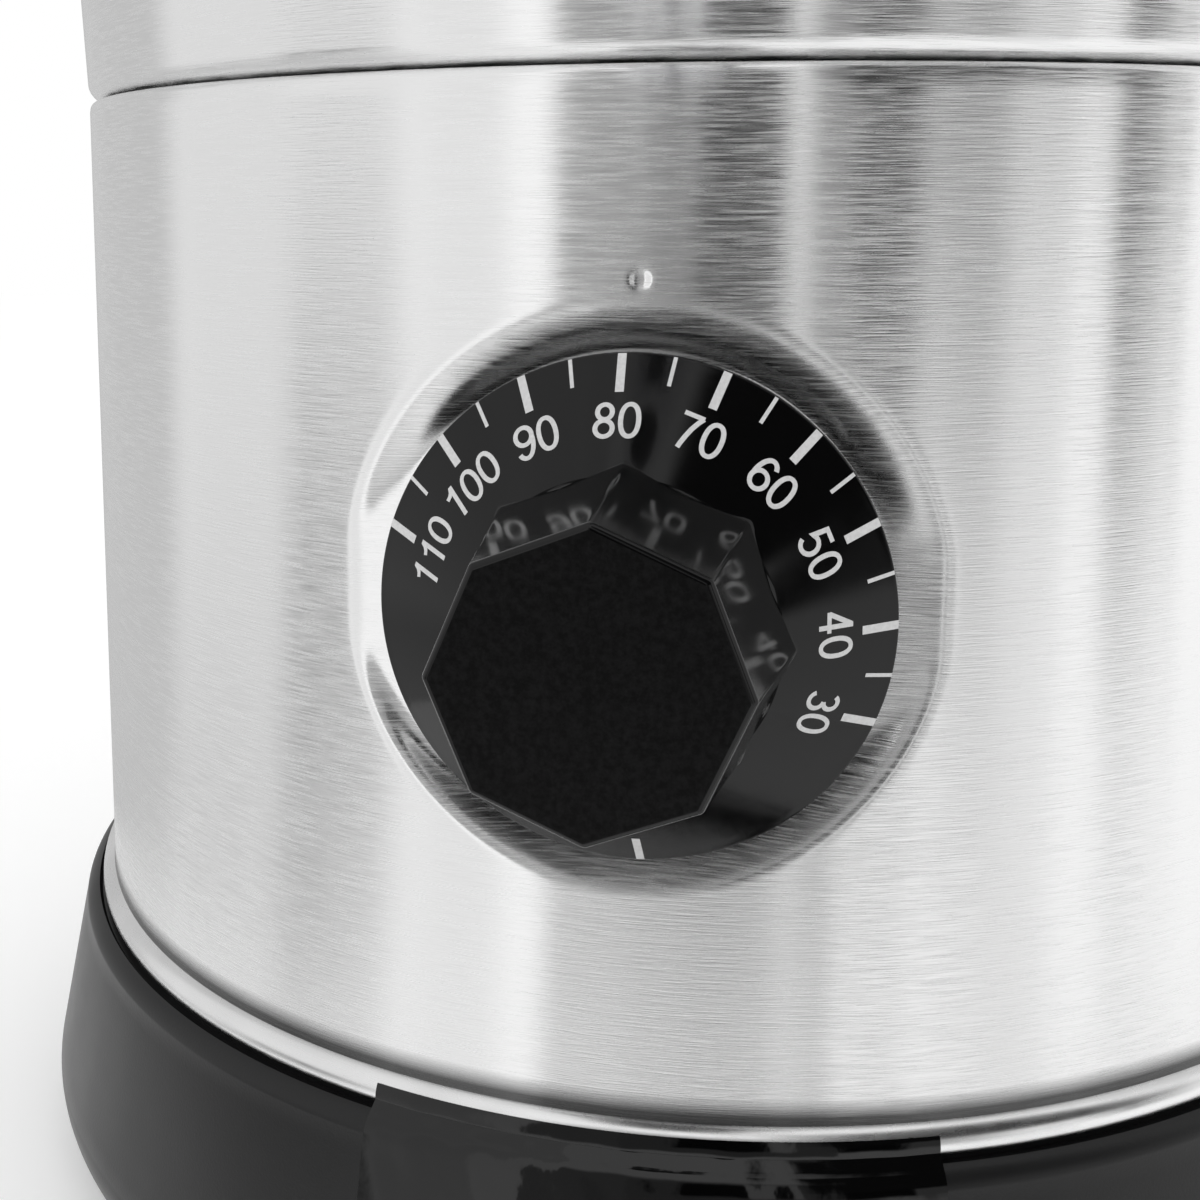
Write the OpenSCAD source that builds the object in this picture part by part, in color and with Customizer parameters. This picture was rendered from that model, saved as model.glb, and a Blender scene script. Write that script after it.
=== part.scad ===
// Electric mulled wine kettle with a double-walled steel tank, a thermostat dial and a lever tap.
// Millimetres. The origin is on the body's axis, on the table. The dial and the tap face -Y.

/* [Body] */
// Radius of the steel body at the seam
body_r = 108.7; // [100:0.1:125]
// Thickness of the steel sheet
sheet = 0.8; // [0.6:0.1:1.2]
// Height of the seam above the table
seam_z = 175.1; // [168:0.1:195]
// Radius of the rolled edges that meet at the seam
roll_r = 2.4; // [1.6:0.1:3.2]
// How far the flanges behind the seam reach inwards
flange_w = 8; // [6:0.5:10]

/* [Lower shell] */
// How much wider the lower shell is at its foot than at the seam
shell_flare = 6.3; // [0:0.1:9]
// Height of the shell's lower edge above the table
foot_z = 46; // [40:0.5:52]
// Radius of the hollow above the foot bead
cove_r = 3.5; // [2.5:0.1:5]
// Radius of the foot bead
bead_r = 3; // [2:0.1:4]
// Slope angle between the hollow and the bead
bead_slope = 50; // [35:1:65]

/* [Base] */
// Largest radius of the moulded base
base_r = 127; // [124:0.5:138]
// Height of the widest line of the base
base_wide_z = 15; // [12:0.5:20]
// Wall of the moulded base
base_wall = 2.8; // [2:0.1:4]
// Radius of the base's upper shoulder
shoulder_r = 3.6; // [2:0.1:5]
// Radius of the base's lower edge
base_edge_r = 10; // [6:0.5:12]
// Number of stiffening ribs inside the base
rib_count = 16; // [8:4:24]
// Thickness of a stiffening rib
rib_t = 2.2; // [1.5:0.1:3]
// Height of the rubber ring that the kettle stands on
foot_ring_h = 5; // [4:0.5:8]
// Distance of the rubber ring's middle line from the mouth of the base
foot_ring_in = 7.3; // [6.5:0.1:12]
// Width of the rubber ring
foot_ring_w = 9; // [6:0.5:11]
// Thickness of the bottom cover
cover_t = 2.5; // [2:0.1:4]
// Height of the film's lower edge above the widest line of the base
film_up = 5; // [2:0.5:10]

/* [Tank] */
// Height of the tank's rim above the seam
tank_h = 260; // [200:1:330]
// Gap between the tank and the outer shell
wall_gap = 4.2; // [3.5:0.1:6]
// Height of the tank's floor above the seam
floor_lift = 6; // [5:0.5:12]
// Radius of the tank's lower corner
tank_corner_r = 12; // [8:0.5:20]
// Radius of the tank's rim bead
rim_bead_r = 3; // [2.4:0.1:3.6]

/* [Lid] */
// Rise of the lid's dome
dome_h = 20; // [10:0.5:35]
// Depth of the ring that centres the lid
spigot_h = 9; // [6:0.5:14]
// Radius of the lid knob
lid_knob_r = 19; // [14:0.5:24]
// Height of the lid knob
lid_knob_h = 27; // [20:0.5:34]

/* [Dial] */
// Height of the dial's centre above the table
knob_z = 114.5; // [105:0.1:125]
// Radius of the dial
dial_r = 30; // [26:0.5:32]
// Slope of the dial's cone, rise over run
dial_slope = 0.75; // [0.3:0.05:0.9]
// Thickness of the dial's rim
dial_edge = 1.3; // [1:0.1:2]
// Radius over the grip's corners where it meets the dial
grip_base_r = 19.2; // [16:0.1:20]
// Radius over the grip's corners at its front face
grip_front_r = 16.8; // [14:0.1:18]
// Height of the grip's front face above the dial's rim
grip_h = 27.5; // [22:0.5:32]
// Radius of the thermostat shaft
shaft_r = 3; // [2.5:0.1:3.5]
// How far the dial's rim stands in front of the shell
dial_stand = 3; // [2:0.1:6]
// Radius of the pressed recess behind the dial
recess_r = 34; // [33:0.5:36]

/* [Tap] */
// Height of the tap's shank above the tank's floor
tap_lift = 30; // [26:1:60]
// Distance of the tap's stem in front of the shell
tap_reach = 34; // [30:0.5:45]
// Radius of the tap's body
tap_r = 12.5; // [11.5:0.5:15]
// Radius of the passage through the spout
spout_bore_r = 5; // [4:0.1:6]
// Length of the spout below the tap's body
spout_h = 17; // [12:0.5:20]
// Lift of the stem when the lever is down
stem_lift = 4; // [2:0.5:4]
// Length of the lever above its pin
lever_h = 52; // [40:1:65]

/* [Handles] */
// Height of the handles above the seam
handle_lift = 205; // [120:1:225]
// Distance between the feet of a handle
handle_span = 84; // [76:1:100]
// Distance of the grip's middle line from the shell
handle_reach = 36; // [32:1:48]

/* [Fits] */
// Radial clearance of a shaft that turns or slides
run_fit = 0.05; // [0.02:0.01:0.1]
// Radial clearance of a screw in its hole
screw_fit = 0.3; // [0.2:0.05:0.6]
// Gap between a loose part and its seat
seat_gap = 0.3; // [0.2:0.05:0.5]

/* [Hidden] */
$fn = 96;
eps = 0.01;
steel = "silver";
plastic = [0.12, 0.12, 0.12];
rubber = [0.2, 0.2, 0.2];
brass = "goldenrod";

// Heights that follow from the seam, the floor and the rim
floor_z = seam_z + floor_lift;
rim_z = seam_z + tank_h;
tank_r = body_r - sheet - wall_gap;
tank_in_r = tank_r - sheet;
shell_top_z = rim_z - rim_bead_r;

// The foot of the lower shell
bead_c_z = foot_z + 0.6;
cove_z = bead_c_z + (bead_r + cove_r) * sin(bead_slope);
foot_r = body_r + shell_flare;
bead_c_r = foot_r + cove_r - (cove_r + bead_r) * cos(bead_slope);
bead_out_r = bead_c_r + bead_r;
function shell_r(z) = body_r + shell_flare * (seam_z - z) / (seam_z - cove_z);

// The base
ledge_t = 2.8;
ledge_in_r = 82;
lip_r = bead_out_r - 0.5;
lip_z = foot_z - 0.5;
base_slope = atan((base_r - lip_r - shoulder_r) / (lip_z - shoulder_r - base_wide_z));
base_c_r = base_r - base_edge_r * cos(base_slope);
base_c_z = base_wide_z - base_edge_r * sin(base_slope);
base_bottom_z = base_c_z - base_edge_r;
base_mouth_r = base_c_r - 5.5;
cover_z = foot_ring_h;
cover_r = base_mouth_r - seat_gap;
base_flank = [
    [base_r, base_wide_z],
    [lip_r + shoulder_r * cos(base_slope), lip_z - shoulder_r + shoulder_r * sin(base_slope)]];
foot_ring_r = base_mouth_r - foot_ring_in;
boss_r = 4.5;
boss_place_r = foot_ring_r - foot_ring_w - boss_r;
cover_screw_l = 14;
peg_count = 8;
peg_start = 180 / peg_count;
peg_r = 2.4;

// The dial and its recess, measured outwards from the body's axis
wall_at_knob = shell_r(knob_z);
dial_y = wall_at_knob + dial_stand;
recess_floor_y = sqrt(wall_at_knob * wall_at_knob - recess_r * recess_r) - 0.5;
cone_h = (dial_r - grip_base_r) * dial_slope;
hub_r = 7;
hub_back_y = recess_floor_y + 1.4;
shaft_hole_r = shaft_r + 1.5;
thermostat_w = 34;
thermostat_d = 27;
thermostat_y = recess_floor_y - sheet;
thermostat_screw_x = 14;
m4_r = 2;
spade_x = 8;
spade_l = 7;
dimple_lift = dial_r + 7.6;

// The heater under the tank
plate_t = 4;
plate_r = 80;
plate_z = floor_z - plate_t;
element_r = 62;
element_tube_r = 4;
element_flat = 3;
element_z = plate_z - element_flat;
element_gap = 50;
leg_h = 16;
pin_r = 1.6;
pin_tip_z = 146;
shield_z = 152;
shield_r = body_r - flange_w + 3;
stud_r = 2.5;
stud_place_r = 87;
bulb_r = 3;
bulb_l = 70;
bulb_z = plate_z - bulb_r - 0.1;
m5_nut_af = 8;

// The parts at the back of the lower shell
inlet_z = 84;
inlet_w = 30;
inlet_h = 21;
inlet_wall = 2.4;
inlet_face_y = shell_r(inlet_z) + 3.2;
inlet_back_y = 92;
pin_root_y = inlet_back_y - 8;
inlet_depth = 16;
inlet_screw_x = 21;
pin_pitch = 7;
reset_z = 132;
reset_y = shell_r(reset_z);
reset_neck_r = 4.9;
reset_bore_r = 3.9;
reset_travel = 1.8;
reset_depth = 6;
cutout_y = reset_y - 8;
reset_tip_y = cutout_y - reset_depth + reset_travel + seat_gap;
m3_r = 1.5;

// The tap
tap_z = floor_z + tap_lift;
tap_y = body_r + tap_reach;
tap_bottom_z = tap_z - 13;
seat_z = tap_bottom_z + 8;
tap_top_z = tap_bottom_z + 40;
chamber_r = tap_r - 3.5;
shank_r = 8;
shank_bore_r = 4.5;
bonnet_h = 8;
bonnet_z = tap_top_z + bonnet_h;
stem_r = 3;
lever_pin_r = 1.5;
cam_min = 3.9;
cam_gap = 0.25;
lever_pin_z = bonnet_z + cam_min + cam_gap;
seal_r = chamber_r - 2;
seal_z = seat_z + 0.1;
seal_h = 5;
plug_depth = 7;
cheek_x = 7;
fork_x = stem_r + seat_gap;
stem_over = 3.6;
fork_r = norm([stem_over, stem_r]) + 0.6;
spring_wire_r = 0.6;
nut_af = 24;
nut_h = 7;
gasket_t = 2;

// The handles
handle_z = seam_z + handle_lift;
handle_foot_y = handle_span / 2;
foot_wall_x = sqrt(body_r * body_r - handle_foot_y * handle_foot_y);
washer_t = 1.5;
handle_foot_x = foot_wall_x + washer_t + 2.6;
m5_r = 2.5;
head_r = 3.6;
head_from_x = sqrt(tank_r * tank_r - pow(handle_foot_y - head_r, 2)) + 0.08;
head_to_x = sqrt(pow(body_r - sheet, 2) - pow(handle_foot_y + head_r, 2)) - 0.04;

// The lid
lid_seat_z = rim_z + rim_bead_r + seat_gap;
lid_skirt_r = tank_r + 2.6 + rim_bead_r + 0.9;
dome_r = tank_r - 8;
dome_edge_z = lid_seat_z + 3;
dome_top_z = dome_edge_z + dome_h;
dome_sphere_r = (dome_r * dome_r + dome_h * dome_h) / (2 * dome_h);
spigot_r = tank_in_r - 1.3;

// Points on an arc about c, from angle a0 to angle a1
function arc(c, r, a0, a1, n = 8) =
    [for (i = [0:n]) let (a = a0 + (a1 - a0) * i / n) c + r * [cos(a), sin(a)]];

// The outline of a sheet that lies on the left side of a path
function unit(v) = v / norm(v);
function normal(p, i) = let (d = unit(p[i + 1] - p[i])) [-d[1], d[0]];
function mitre(p, i) =
    let (a = normal(p, max(i - 1, 0)), b = normal(p, min(i, len(p) - 2))) (a + b) / (1 + a * b);
function sheet_of(p, t) = concat(p, [for (i = [len(p) - 1:-1:0]) p[i] + t * mitre(p, i)]);

// Points of a smooth curve through the points p, n steps from one to the next
function spline(p, n) = let (m = len(p) - 1) concat(
    [for (i = [0:m - 1], k = [0:n - 1])
        let (u = k / n, a = p[max(i - 1, 0)], b = p[i], c = p[i + 1], d = p[min(i + 2, m)])
            b + u * (c - a) / 2 + u * u * (a - 2.5 * b + 2 * c - d / 2)
                + u * u * u * (3 * b - a - 3 * c + d) / 2],
    [p[m]]);

// A solid skin over rings of points, closed at both ends
module skin(rings) {
    n = len(rings[0]);
    m = len(rings);
    side = [for (i = [0:m - 2], k = [0:n - 1]) let (a = i * n + k, b = i * n + (k + 1) % n)
        each [[a, b, a + n], [b, b + n, a + n]]];
    ends = [[for (k = [n - 1:-1:0]) k], [for (k = [0:n - 1]) (m - 1) * n + k]];
    polyhedron([for (r = rings) each r], concat(side, ends), convexity = 6);
}

// A round tube along a route; ref is a direction that the route never takes
module tube(route, r, ref, sides = 8, steps = 4) {
    p = spline(route, steps);
    m = len(p) - 1;
    skin([for (i = [0:m])
        let (t = unit(p[min(i + 1, m)] - p[max(i - 1, 0)]), u = unit(cross(ref, t)), v = cross(t, u))
            [for (k = [0:sides - 1]) p[i] + r * (cos(360 * k / sides) * u - sin(360 * k / sides) * v)]]);
}

// A plain drum about the body's axis, fine enough to cut seats that lie against the shells
module drum(r, from = seam_z + 2, to = rim_z)
    translate([0, 0, from]) cylinder(r = r, h = to - from, $fn = 360);

// Local frames: +Z points outwards at the front or at the back, +Y up
module front(z) translate([0, 0, z]) rotate([90, 0, 0]) children();
module back(z) translate([0, 0, z]) rotate([90, 0, 180]) children();
module pair(x) for (s = [-1, 1]) translate([s * x, 0, 0]) children();
module around(count, r, start = 0)
    for (i = [0:count - 1]) rotate(start + 360 * i / count) translate([r, 0, 0]) children();
module hexagon(af, h) cylinder(d = af / cos(30), h = h, $fn = 6);
module ring(r_out, r_in, h) difference() {
    cylinder(r = r_out, h = h);
    translate([0, 0, -eps]) cylinder(r = r_in, h = h + 2 * eps);
}

// Lower shell: a slightly conical drum with a rolled top, a foot bead and the pressed dial recess
lower_path = concat(
    [[bead_out_r, foot_z]],
    arc([bead_c_r, bead_c_z], bead_r, 0, bead_slope),
    arc([foot_r + cove_r, cove_z], cove_r, 180 + bead_slope - 6, 180),
    arc([body_r - roll_r, seam_z - roll_r], roll_r, 0, 90),
    [[body_r - flange_w, seam_z]]);
module shell_solid() rotate_extrude($fn = 360) polygon(concat([[0, foot_z]], lower_path, [[0, seam_z]]));

module lower_shell() color(steel) difference() {
    union() {
        rotate_extrude() polygon(sheet_of(lower_path, sheet));
        intersection() {
            shell_solid();
            front(knob_z) translate([0, 0, thermostat_y])
                cylinder(r = recess_r + sheet, h = foot_r - thermostat_y);
        }
    }
    front(knob_z) {
        translate([0, 0, recess_floor_y]) cylinder(r = recess_r, h = foot_r);
        cylinder(r = shaft_hole_r, h = foot_r);
        pair(thermostat_screw_x) cylinder(r = m4_r + screw_fit, h = foot_r);
        translate([0, dimple_lift, shell_r(knob_z + dimple_lift) + 3.6]) sphere(r = 4);
    }
    back(inlet_z) {
        translate([-inlet_w / 2 - 0.5, -inlet_h / 2 - 0.5, 0]) cube([inlet_w + 1, inlet_h + 1, 2 * foot_r]);
        pair(inlet_screw_x) cylinder(r = m3_r + screw_fit, h = 2 * foot_r);
    }
    back(reset_z) cylinder(r = reset_neck_r + screw_fit, h = 2 * foot_r);
}

// Outer shell: the straight drum above the seam, with holes for the tap and the handles
outer_path = concat(
    [[body_r - flange_w, seam_z]],
    arc([body_r - roll_r, seam_z + roll_r], roll_r, -90, 0),
    arc([body_r - 1.5, shell_top_z - 1.5], 1.5, 0, 90, 5),
    [[tank_r + seat_gap, shell_top_z]]);
module handle_holes(r) for (s = [-1, 1], y = [-1, 1])
    translate([0, y * handle_foot_y, handle_z]) rotate([0, 90 * s, 0]) cylinder(r = r, h = body_r + 9);
module outer_shell() color(steel) difference() {
    rotate_extrude() polygon(sheet_of(outer_path, sheet));
    front(tap_z) cylinder(r = shank_r + screw_fit, h = 2 * body_r);
    handle_holes(m5_r + screw_fit);
}

// Tank: drawn floor and wall, with a solid rolled bead that hangs over the outer shell
tank_path = concat(
    [[0, floor_z]],
    arc([tank_r - tank_corner_r, floor_z + tank_corner_r], tank_corner_r, -90, 0),
    [[tank_r, rim_z]]);
module inner_tank() color(steel) difference() {
    union() {
        rotate_extrude() polygon(sheet_of(tank_path, sheet));
        rotate_extrude() translate([tank_r + 2.6, rim_z]) circle(r = rim_bead_r, $fn = 48);
    }
    front(tap_z) cylinder(r = shank_r + screw_fit, h = 2 * body_r);
    translate([0, 0, rim_z - 5]) cylinder(r = tank_in_r, h = 12);
}

// Insulation: a mineral wool sleeve in the gap, cut out round the tap and the handle screws
module insulation_sleeve() color("khaki") difference() {
    translate([0, 0, seam_z + roll_r])
        ring(body_r - sheet - 0.5, tank_r + 0.5, shell_top_z - seam_z - 2 * roll_r);
    front(tap_z) cylinder(r = shank_r + 5, h = 2 * body_r);
    handle_holes(7);
}

// Base: a moulded skirt with a ledge for the shell, ribs and screw bosses
base_outer = concat(
    [[lip_r - 0.4, foot_z], [lip_r - 0.4, lip_z]],
    arc([lip_r, lip_z - shoulder_r], shoulder_r, 90, base_slope),
    arc([base_c_r, base_c_z], base_edge_r, base_slope, -90, 10),
    [[base_mouth_r, base_bottom_z]]);
base_inner = concat(
    [[base_mouth_r, base_bottom_z + base_wall], [base_c_r, base_bottom_z + base_wall]],
    arc([base_c_r, base_c_z], base_edge_r - base_wall, -90, base_slope, 10),
    [[lip_r + shoulder_r * cos(base_slope) - base_wall, foot_z - ledge_t - 1.5],
     [lip_r - 1, foot_z - ledge_t]]);
ledge_inner = [[ledge_in_r, foot_z - ledge_t], [ledge_in_r, foot_z]];
rib_inner_r = foot_ring_r - 6.5;
rib_inner = [[lip_r - 1, foot_z - 1], [rib_inner_r, foot_z - 1], [rib_inner_r, base_bottom_z + base_wall]];
module base_housing() color(plastic) difference() {
    union() {
        rotate_extrude() polygon(concat(base_outer, base_inner, ledge_inner));
        intersection() {
            rotate_extrude() polygon(concat(base_inner, rib_inner));
            for (i = [0:rib_count - 1]) rotate(360 * (i + 0.5) / rib_count)
                translate([90, -rib_t / 2, cover_z + cover_t + 1]) cube([base_r - 90, rib_t, foot_z]);
        }
        around(4, boss_place_r) translate([0, 0, cover_z + cover_t])
            cylinder(r = boss_r, h = foot_z - ledge_t / 2 - cover_z - cover_t);
    }
    around(4, boss_place_r) cylinder(r = m3_r + run_fit, h = cover_z + cover_screw_l + 5);
    around(4, stud_place_r, 45) cylinder(r = stud_r + screw_fit, h = foot_z + 5);
}

// Bottom cover: a disc with cooling slots, screwed to the bosses
slot_l = 46;
slot_w = 4;
module cover_slots() for (i = [-3:3]) translate([0, i * 14, 0]) {
    translate([-slot_l / 2, -slot_w / 2, -eps]) cube([slot_l, slot_w, 2 * cover_t]);
    pair(slot_l / 2) translate([0, 0, -eps]) cylinder(r = slot_w / 2, h = 2 * cover_t, $fn = 32);
}
module bottom_cover() color(plastic) translate([0, 0, cover_z]) difference() {
    cylinder(r = cover_r, h = cover_t);
    cover_slots();
    around(4, boss_place_r) translate([0, 0, -eps]) cylinder(r = m3_r + screw_fit, h = 2 * cover_t, $fn = 32);
    around(peg_count, foot_ring_r, peg_start) translate([0, 0, -eps])
        cylinder(r = peg_r + run_fit, h = 2 * cover_t, $fn = 32);
}
module cover_screws() color(steel) around(4, boss_place_r) {
    translate([0, 0, cover_z - 1.9]) cylinder(r = 2.9, h = 1.9, $fn = 48);
    translate([0, 0, cover_z - eps]) cylinder(r = m3_r, h = cover_screw_l, $fn = 32);
}

// Rubber ring: two lips that grip the table, and pegs that snap into the cover
module foot_ring() color(rubber) {
    difference() {
        ring(foot_ring_r + foot_ring_w / 2, foot_ring_r - foot_ring_w / 2, foot_ring_h);
        translate([0, 0, -eps]) ring(foot_ring_r + foot_ring_w / 6, foot_ring_r - foot_ring_w / 6, 1.2);
    }
    around(peg_count, foot_ring_r, peg_start) {
        translate([0, 0, foot_ring_h - eps]) cylinder(r = peg_r, h = cover_t + 0.2, $fn = 32);
        translate([0, 0, foot_ring_h + cover_t + 0.1])
            cylinder(r1 = peg_r + 0.9, r2 = 1.4, h = 2.4, $fn = 32);
    }
}

// Film: a bare strip stuck from the foot bead down over the base, in front under the dial
film_t = 0.25;
film_from = -17;
film_to = 19;
film_gap = 0.05;
film_dir = unit(base_flank[1] - base_flank[0]);
film_path = concat(
    [base_flank[0] + film_up / film_dir[1] * film_dir + film_gap * [film_dir[1], -film_dir[0]]],
    arc([lip_r, lip_z - shoulder_r], shoulder_r + film_gap, base_slope, 58, 4),
    arc([bead_c_r, bead_c_z], bead_r + film_gap, -6, 35, 4));
module label_film() color(plastic)
    rotate(-90 + film_from) rotate_extrude(angle = film_to - film_from) polygon(sheet_of(film_path, -film_t));

// Heater: an aluminium plate, a flattened ring element and a sheet steel shield below them
module heat_plate() color("lightgray") translate([0, 0, plate_z]) cylinder(r = plate_r, h = plate_t);
module element_legs(r, from, to) for (s = [-1, 1])
    rotate(90 + s * element_gap / 2) translate([element_r, 0, to]) cylinder(r = r, h = from - to, $fn = 32);
module heating_element() color("dimgray") {
    rotate(90 + element_gap / 2) rotate_extrude(angle = 360 - element_gap) translate([element_r, element_z])
        intersection() {
            circle(r = element_tube_r, $fn = 48);
            translate([-9, -9 + element_flat]) square([18, 9]);
        }
    element_legs(element_tube_r, element_z, element_z - leg_h);
    element_legs(pin_r, element_z - leg_h + eps, pin_tip_z);
}
shield_path = [
    [0, shield_z], [shield_r - 3, shield_z], [shield_r, shield_z + 3],
    [shield_r, seam_z - 2 * sheet], [shield_r + 2.6, seam_z - 2 * sheet]];
module heat_shield() color(steel) difference() {
    rotate_extrude() polygon(sheet_of(shield_path, sheet));
    around(4, stud_place_r, 45) translate([0, 0, shield_z - 1])
        cylinder(r = stud_r + screw_fit, h = 9, $fn = 32);
    element_legs(element_tube_r + 1.5, shield_z + 5, shield_z - 5);
    translate([50, -14, shield_z - 5]) cylinder(r = 5, h = 9);
    translate([0, 30, shield_z - 5]) cylinder(r = m4_r + run_fit, h = 9, $fn = 32);
}
module earth_screw() color(brass) translate([0, 30, 0]) {
    translate([0, 0, shield_z + sheet]) cylinder(r = 3.6, h = 2.4, $fn = 48);
    translate([0, 0, shield_z - 6]) cylinder(r = m4_r, h = 6 + sheet + eps, $fn = 32);
}

// Studs from the tank's floor clamp the shells to the base
module tie_studs() color(steel) around(4, stud_place_r, 45)
    translate([0, 0, foot_z - 14]) cylinder(r = stud_r, h = floor_z - foot_z + 14, $fn = 32);
module tie_nuts() color(steel) around(4, stud_place_r, 45)
    translate([0, 0, foot_z - ledge_t - 4]) difference() {
        hexagon(m5_nut_af, 4);
        translate([0, 0, -eps]) cylinder(r = stud_r + run_fit, h = 5, $fn = 32);
    }

// Thermostat: body behind the recess, turning shaft, sensor bulb and capillary
module thermostat_body() color("ivory") front(knob_z) difference() {
    union() {
        translate([-thermostat_w / 2, -thermostat_w / 2, thermostat_y - thermostat_d])
            cube([thermostat_w, thermostat_w, thermostat_d - 1.5]);
        translate([-20, -20, thermostat_y - 1.5]) cube([40, 40, 1.5]);
        pair(spade_x) translate([-3, -12, thermostat_y - thermostat_d - spade_l])
            cube([6, 0.8, spade_l + eps]);
    }
    translate([0, 0, thermostat_y - 9]) cylinder(r = shaft_r + run_fit, h = 20);
    pair(thermostat_screw_x) translate([0, 0, thermostat_y - 9])
        cylinder(r = m4_r + run_fit, h = 20, $fn = 32);
}
module thermostat_screws() color(steel) front(knob_z) pair(thermostat_screw_x) {
    translate([0, 0, thermostat_y - 7]) cylinder(r = m4_r, h = 7 + sheet + eps, $fn = 32);
    translate([0, 0, recess_floor_y]) cylinder(r1 = 3.7, r2 = 3, h = 1.8, $fn = 48);
}
// The shaft's flat starts in front of the recess floor
shaft_flat = 0.6;
module shaft_section(r, from, to) difference() {
    translate([0, 0, from]) cylinder(r = r, h = to - from);
    translate([-r, shaft_r - shaft_flat + (r - shaft_r), hub_back_y]) cube([2 * r, r, 40]);
}
shaft_tip_y = dial_y + cone_h + 6;
module thermostat_shaft() color(steel)
    front(knob_z) shaft_section(shaft_r, thermostat_y - 8.8, shaft_tip_y);

// Knob: a coned dial and an eight-sided grip, moulded in one piece round a hub
grip_turn = 88.6;
grip_bore_r = 13;
module grip_slice(r, y) translate([0, 0, y]) rotate(grip_turn) linear_extrude(0.05)
    offset(r = 0.8, $fn = 16) circle(r = r - 0.86, $fn = 8);
module knob() color(plastic) front(knob_z) difference() {
    union() {
        difference() {
            union() {
                translate([0, 0, dial_y - dial_edge]) cylinder(r = dial_r, h = dial_edge);
                translate([0, 0, dial_y - eps])
                    cylinder(r1 = dial_r, r2 = dial_r - (cone_h + 2) / dial_slope, h = cone_h + 2);
                hull() {
                    grip_slice(grip_base_r + 0.2, dial_y + cone_h - 1);
                    grip_slice(grip_front_r + 0.1, dial_y + grip_h - 0.8);
                    grip_slice(grip_front_r - 0.7, dial_y + grip_h - 0.05);
                }
            }
            translate([0, 0, dial_y - dial_edge - eps])
                cylinder(r1 = dial_r - 2.2, r2 = grip_bore_r, h = cone_h + 1);
            translate([0, 0, dial_y]) cylinder(r = grip_bore_r, h = grip_h - 3);
        }
        translate([0, 0, hub_back_y]) cylinder(r = hub_r, h = dial_y + grip_h - 2 - hub_back_y);
        for (a = [0, 90]) rotate(a) translate([-14, -0.8, dial_y + 4]) cube([28, 1.6, grip_h - 6]);
    }
    shaft_section(shaft_r + run_fit, hub_back_y - eps, shaft_tip_y + 0.5);
    translate([-2.2, shaft_r - shaft_flat + run_fit - eps, hub_back_y + 1]) cube([4.4, 0.9, 8]);
}
// Spring clip: a steel leaf in the hub that presses on the shaft's flat
module knob_spring_clip() color(steel) front(knob_z)
    translate([-2, shaft_r - shaft_flat + 2 * run_fit, hub_back_y + 1.1]) cube([4, 0.7, 7.8]);

module sensor_bulb() color("peru") translate([-bulb_l / 2, 0, bulb_z]) rotate([0, 90, 0]) {
    cylinder(r = bulb_r, h = bulb_l);
    translate([0, 0, bulb_l]) cylinder(r1 = bulb_r, r2 = 1.2, h = 4);
}
module bulb_clip() color(steel) difference() {
    union() {
        translate([-5, -bulb_r - 1.2, bulb_z - bulb_r - 1])
            cube([10, 2 * bulb_r + 2.4, plate_z - bulb_z + bulb_r + 1]);
        translate([-5, -9, plate_z - 1]) cube([10, 18, 1]);
    }
    translate([-6, 0, bulb_z]) rotate([0, 90, 0]) cylinder(r = bulb_r + run_fit, h = 12);
    translate([-6, -bulb_r - run_fit, bulb_z]) cube([12, 2 * bulb_r + 2 * run_fit, plate_z - bulb_z + eps]);
}
capillary_route = [
    [39, 0, bulb_z], [46, 0, 170], [50, -7, 162], [50, -14, 152], [48, -24, 138], [36, -40, 122],
    [16, -56, 116], [2, -66, 116], [0, -thermostat_y + thermostat_d, 116]];
module capillary_tube() color("peru") tube(capillary_route, 0.9, [1, 1, 0.4]);

// Cut-out with its reset button at the back of the lower shell
module thermal_cutout() color("ivory") back(reset_z) difference() {
    union() {
        translate([-12, -9, cutout_y - 18]) cube([24, 18, 18]);
        translate([0, 0, cutout_y - eps]) cylinder(r = reset_neck_r, h = reset_y + 2.5 - cutout_y);
        pair(5) translate([-2.5, -3, cutout_y - 24]) cube([5, 0.8, 6 + eps]);
    }
    translate([0, 0, cutout_y - reset_depth]) cylinder(r = reset_bore_r, h = 30);
}
module reset_ring_nut() color(plastic) difference() {
    back(reset_z) translate([0, 0, reset_y - 1.2]) ring(8.5, reset_neck_r + run_fit, 3.7);
    shell_solid();
}
module reset_button() color("firebrick") back(reset_z) {
    translate([0, 0, reset_y - 2]) cylinder(r = reset_bore_r - seat_gap, h = 5.4);
    translate([0, 0, reset_tip_y]) cylinder(r = 1.5, h = reset_y - 2 - reset_tip_y + eps, $fn = 32);
}

// Mains inlet: a socket with three pins, its flange shaped to the drum
module inlet_cavity(w, h, from, to) translate([-w / 2, -h / 2, from]) cube([w, h, to - from]);
module power_inlet() color(plastic) difference() {
    back(inlet_z) union() {
        inlet_cavity(inlet_w, inlet_h, inlet_back_y, inlet_face_y - eps);
        difference() {
            inlet_cavity(52, inlet_h + 6, inlet_face_y - 8, inlet_face_y);
            rotate([-90, 0, 0]) translate([0, 0, -inlet_z]) shell_solid();
        }
    }
    back(inlet_z) {
        inlet_cavity(inlet_w - 2 * inlet_wall, inlet_h - 2 * inlet_wall,
            inlet_face_y - inlet_depth, foot_r + 9);
        pair(inlet_screw_x) translate([0, 0, inlet_back_y]) cylinder(r = m3_r + screw_fit, h = 40, $fn = 32);
        pin_blades(inlet_back_y - 9, foot_r, 0);
    }
}
module pin_blades(from, to, earth_more) {
    pair(pin_pitch) translate([0, -2, 0]) inlet_cavity(2, 4, from, to);
    translate([0, 2, 0]) inlet_cavity(2, 4, from, to + earth_more);
}
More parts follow.
